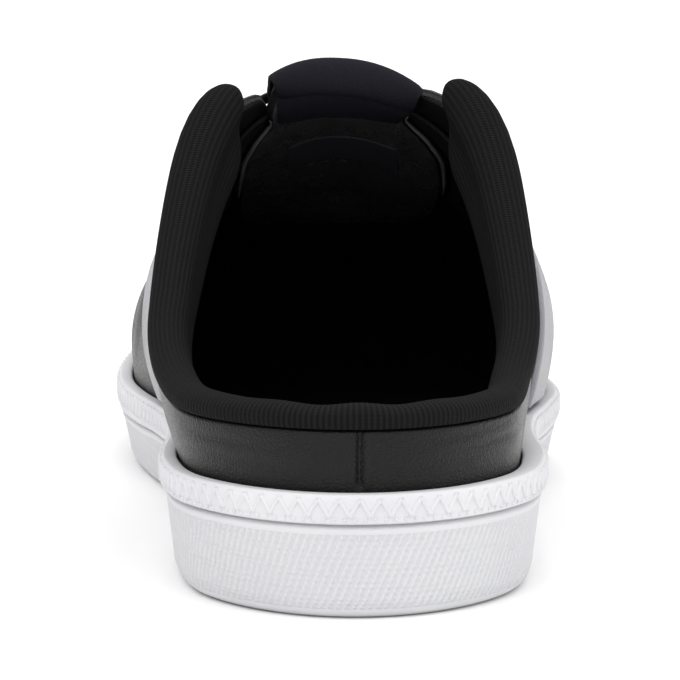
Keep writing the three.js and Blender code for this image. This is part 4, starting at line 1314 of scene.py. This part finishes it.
def panel_place(side, part, height, inset=0):
    """Turn and rise on a side panel: part is -0.5 to 0.5 across it and height 0 to 1 up it"""
    middle = PANEL_FOOT_Y + (PANEL_HEAD_Y - PANEL_FOOT_Y) * height
    width = PANEL_FOOT_WIDTH + (PANEL_HEAD_WIDTH - PANEL_FOOT_WIDTH) * height
    turn = on_side(turn_at((middle + part * width + inset) / SHOE_LENGTH), side)
    flat = turn.ravel()
    head = rise_below(flat, rim_rise(flat), EYESTAY_WIDTH + CLEARANCE)
    low = last_point(flat, 0)[..., 2] + PANEL_FOOT_LIFT
    foot = find_rise(lambda rise: last_point(flat, rise)[..., 2], low, 0.0, 1.0)
    rises = [even_rises(flat[k:k + 1], foot[k:k + 1], head[k:k + 1], [share])[0, 0]
             for k, share in enumerate(height.ravel())]
    return turn, np.array(rises).reshape(turn.shape)


def make_panel(side, name, node, finish):
    height, part = np.meshgrid(np.linspace(0, 1, 25), np.linspace(-0.5, 0.5, 17), indexing="ij")
    turn, rises = panel_place(side, part, height)
    points = last_offset(turn, rises, CLEARANCE + PANEL_THICK)
    piece = finish_mesh(name, grid_mesh(points, False), [finish])
    solidify(piece, PANEL_THICK + 2 * CLEARANCE, offset=-1.0 if side > 0 else 1.0, bevel=0.35)
    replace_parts(piece, node)


# Laces
LACE_STOPS = ((0, -1.9, 0.34), (0, -0.3, 0.34), (0.12, 0.95, 0.45), (0.37, 0.65, 0.85), (0.61, 0.5, 1))
LACE_SECTION = ((-1, 0), (-0.92, 0.75), (-0.5, 1), (0.5, 1), (0.92, 0.75), (1, 0), (0.92, -0.75), (0.5, -1),
                (-0.5, -1), (-0.92, -0.75), (-1, 0))


def lace_path(index):
    y = lace_y(index)
    share = y / SHOE_LENGTH

    def lift_of(lift):
        return EYESTAY_STEP + CLEARANCE + LACE_THICK * lift

    def side(sign):
        stops = []
        for away, lift, wide in LACE_STOPS:
            turn = eyelet(index, sign)[0]
            rise = float(gap_rise(turn, throat_gap(share) + EYELET_INSET * (1 - away)))
            ahead = last_point(turn + sign * 0.01, rise) - last_point(turn - sign * 0.01, rise)
            stops.append((last_offset(turn, rise, lift_of(lift)), ahead, wide))
        return stops

    middle = []
    for part in np.linspace(-0.85, 0.85, 5):
        x = part * throat_gap(share) + HEEL_HALF * read(SECTIONS, "shift", share)
        ahead = crown_point(x, y + 1, 0) - crown_point(x, y - 1, 0)
        middle.append((crown_point(x, y, -lift_of(0.5)), ahead, 1))
    return side(-1) + middle + side(1)[::-1]


def make_lace_bar(index, finish):
    path = lace_path(index)
    points = np.array([stop[0] for stop in path])
    along = unit(np.gradient(points, axis=0))
    ahead = unit(np.array([stop[1] for stop in path]))
    ahead = unit(ahead - along * np.sum(ahead * along, axis=1, keepdims=True))
    out = np.cross(along, ahead)
    half = np.array([stop[2] for stop in path])[:, None, None] * LACE_WIDTH / 2
    section = np.array(LACE_SECTION)
    rings = points[:, None] + ahead[:, None] * section[None, :, :1] * half
    rings = rings + out[:, None] * section[None, :, 1:] * LACE_THICK / 2
    name = f"lace_run_{index + 1}"
    piece = finish_mesh(name, grid_mesh(rings, True, fill_ends=True), [finish])
    smooth(piece, 2)
    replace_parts(piece, f"lace_bar_{index + 1}")


# Stitches
def stitch_row(name, points, normals, finish, pitch=3.0, long=2.3):
    """Short threads laid end to end along a line of surface points"""
    length = along_rows(points)

    def at(rows, middle):
        return np.array([np.interp(middle, length, rows[:, k]) for k in range(3)])

    bm = bmesh.new()
    for middle in np.arange(pitch / 2, length[-1], pitch):
        out = Vector(at(normals, middle)).normalized()
        along = Vector(at(points, middle + 0.5) - at(points, middle - 0.5)).normalized()
        aside = out.cross(along).normalized()
        turned = Matrix((along, aside, out)).transposed().to_4x4()
        thick = STITCH_THICK / 2 / METRE
        size = Matrix.Diagonal((long / 2 / METRE, thick, thick, 1))
        place = place_at(at(points, middle)) @ turned @ size
        bmesh.ops.create_icosphere(bm, subdivisions=1, radius=1, matrix=place)
    return finish_mesh(name, bm, [finish])


def stitch_eyestay(finish):
    first = float(turn_at(EYESTAY_FROM + 0.006))
    turns = np.linspace(first, 2 * np.pi - first, 240)
    rim = rim_rise(turns)
    for number, drop in enumerate((EYESTAY_WIDTH - 1.8, EYESTAY_WIDTH - 4.2, 2.2)):
        rise = rise_below(turns, rim, drop)
        points = last_offset(turns, rise, EYESTAY_STEP + STITCH_LIFT)
        stitch_row(f"eyestay_stitch_{number + 1}", points, last_normal(turns, rise), finish)


def stitch_panel(side, name, finish):
    for number, (part, inset) in enumerate(((-0.5, PANEL_SEAM), (0.5, -PANEL_SEAM))):
        turn, rise = panel_place(side, part, np.linspace(0.02, 0.98, 40), inset)
        points = last_offset(turn, rise, CLEARANCE + PANEL_THICK + STITCH_LIFT)
        out = last_normal(turn, rise)
        stitch_row(f"{name}_{number + 1}", points, out, finish, pitch=2.8, long=2.1)


# Stage
# Wide suns: name, way of the light, strength and how wide it is in degrees
SUNS = (
    ("over", (0.08, 0.1, -1), 2.5, 100),
    ("left", (0.35, 0.9, -0.5), 0.45, 60),
    ("right", (-0.9, 0.15, -0.3), 0.3, 40),
)
# Soft light all round, weaker on the inner side
SKY_LEFT = 0.42
SKY_RIGHT = 0.68


def make_stage():
    bm = bmesh.new()
    bmesh.ops.create_grid(bm, x_segments=2, y_segments=2, size=6)
    floor = make_object("floor", bm)
    paper = Finish("pale_floor", (0.93, 0.93, 0.93), 0.9, Specular_IOR_Level=0.1)
    soft = paper.noise(paper.place(), 300.0, 2.0, 0.5)
    paper.set("Roughness", 0.85 + soft * 0.1)
    floor.data.materials.append(paper.material)
    world = bpy.data.worlds.new("studio")
    world.use_nodes = True
    sky = world.node_tree.nodes["Background"]
    sky.inputs["Color"].default_value = (1, 1, 1, 1)
    way = world.node_tree.nodes.new("ShaderNodeTexCoord").outputs["Generated"]
    sides = world.node_tree.nodes.new("ShaderNodeSeparateXYZ")
    strength = world.node_tree.nodes.new("ShaderNodeMapRange")
    strength.inputs["From Min"].default_value = -1
    strength.inputs["To Min"].default_value = SKY_LEFT
    strength.inputs["To Max"].default_value = SKY_RIGHT
    world.node_tree.links.new(way, sides.inputs[0])
    world.node_tree.links.new(sides.outputs["X"], strength.inputs["Value"])
    world.node_tree.links.new(strength.outputs[0], sky.inputs["Strength"])
    scene.world = world
    for name, way, energy, angle in SUNS:
        light = bpy.data.lights.new(name, "SUN")
        light.energy = energy
        light.angle = math.radians(angle)
        lamp = bpy.data.objects.new(name, light)
        lamp.rotation_euler = Vector(way).to_track_quat("-Z", "Y").to_euler()
        scene.collection.objects.link(lamp)
    scene.view_settings.view_transform = "Standard"


# Camera: the photo's place, aimed at the shoe, with a longer lens to show it larger
CAMERA_PLACE = (-0.0399, -1.0460, 0.1818)
CAMERA_AIM = (-0.0046, -0.1000, 0.0513)
PHOTO_FOCUS = 3249
PHOTO_SIZE = 680
CLOSER = 1.4


def make_camera():
    lens = bpy.data.cameras.new("camera")
    lens.sensor_width = 36
    lens.lens = 36 * PHOTO_FOCUS * CLOSER / PHOTO_SIZE
    camera = bpy.data.objects.new("camera", lens)
    camera.location = CAMERA_PLACE
    camera.rotation_euler = (Vector(CAMERA_AIM) - Vector(CAMERA_PLACE)).to_track_quat("-Z", "Y").to_euler()
    scene.collection.objects.link(camera)
    scene.camera = camera


make_camera()
make_stage()
black_leather = leather("black_leather", (0.007, 0.007, 0.0075), (0.011, 0.011, 0.011), 0.36, 0.9)
# A lighter copy of the black leather: painted light that lifts the tongue's shaded underside and paints the
# highlight line of the eyestay's edge
tongue_leather_painted_light = leather("tongue_skin_painted_light", (0.05, 0.05, 0.051), (0.06, 0.06, 0.06), 0.28, 0.7)
# Pale, glossy leather for the edge cords: painted highlight lines standing for glints on the black leather's
# edges
edge_highlight_leather = leather("edge_highlight_leather", (0.2, 0.2, 0.2), (0.26, 0.26, 0.26), 0.2, 0.7)
white_leather = leather("white_leather", (0.33, 0.33, 0.35), (0.3, 0.3, 0.32), 0.4, 0.9)
lining_textile = weave("lining_textile", (0.012, 0.012, 0.012), (0.004, 0.004, 0.004), 0.9)
black_lace = weave("black_lace", (0.022, 0.022, 0.023), (0.006, 0.006, 0.006), 0.7)
black_thread = thread("black_thread", (0.02, 0.02, 0.021))
white_thread = thread("white_thread", (0.6, 0.6, 0.62))
make_sole()
make_insole()
upper_piece = make_upper(black_leather, lining_textile)
eyestay_piece = make_eyestay(black_leather, tongue_leather_painted_light)
cut_eyelets(upper_piece, eyestay_piece)
make_collar()
make_tongue(black_leather, tongue_leather_painted_light, edge_highlight_leather)
make_tab()
make_label()
make_gore(-1, "gore_inner_band", "gore_inner")
make_gore(1, "gore_outer_band", "gore_outer")
make_panel(-1, "side_panel_inner_skin", "side_panel_inner", white_leather)
make_panel(1, "side_panel_outer_skin", "side_panel_outer", white_leather)
for lace_index in range(LACE_COUNT):
    make_lace_bar(lace_index, black_lace)
stitch_eyestay(black_thread)
stitch_panel(-1, "panel_inner_stitch", white_thread)
stitch_panel(1, "panel_outer_stitch", white_thread)
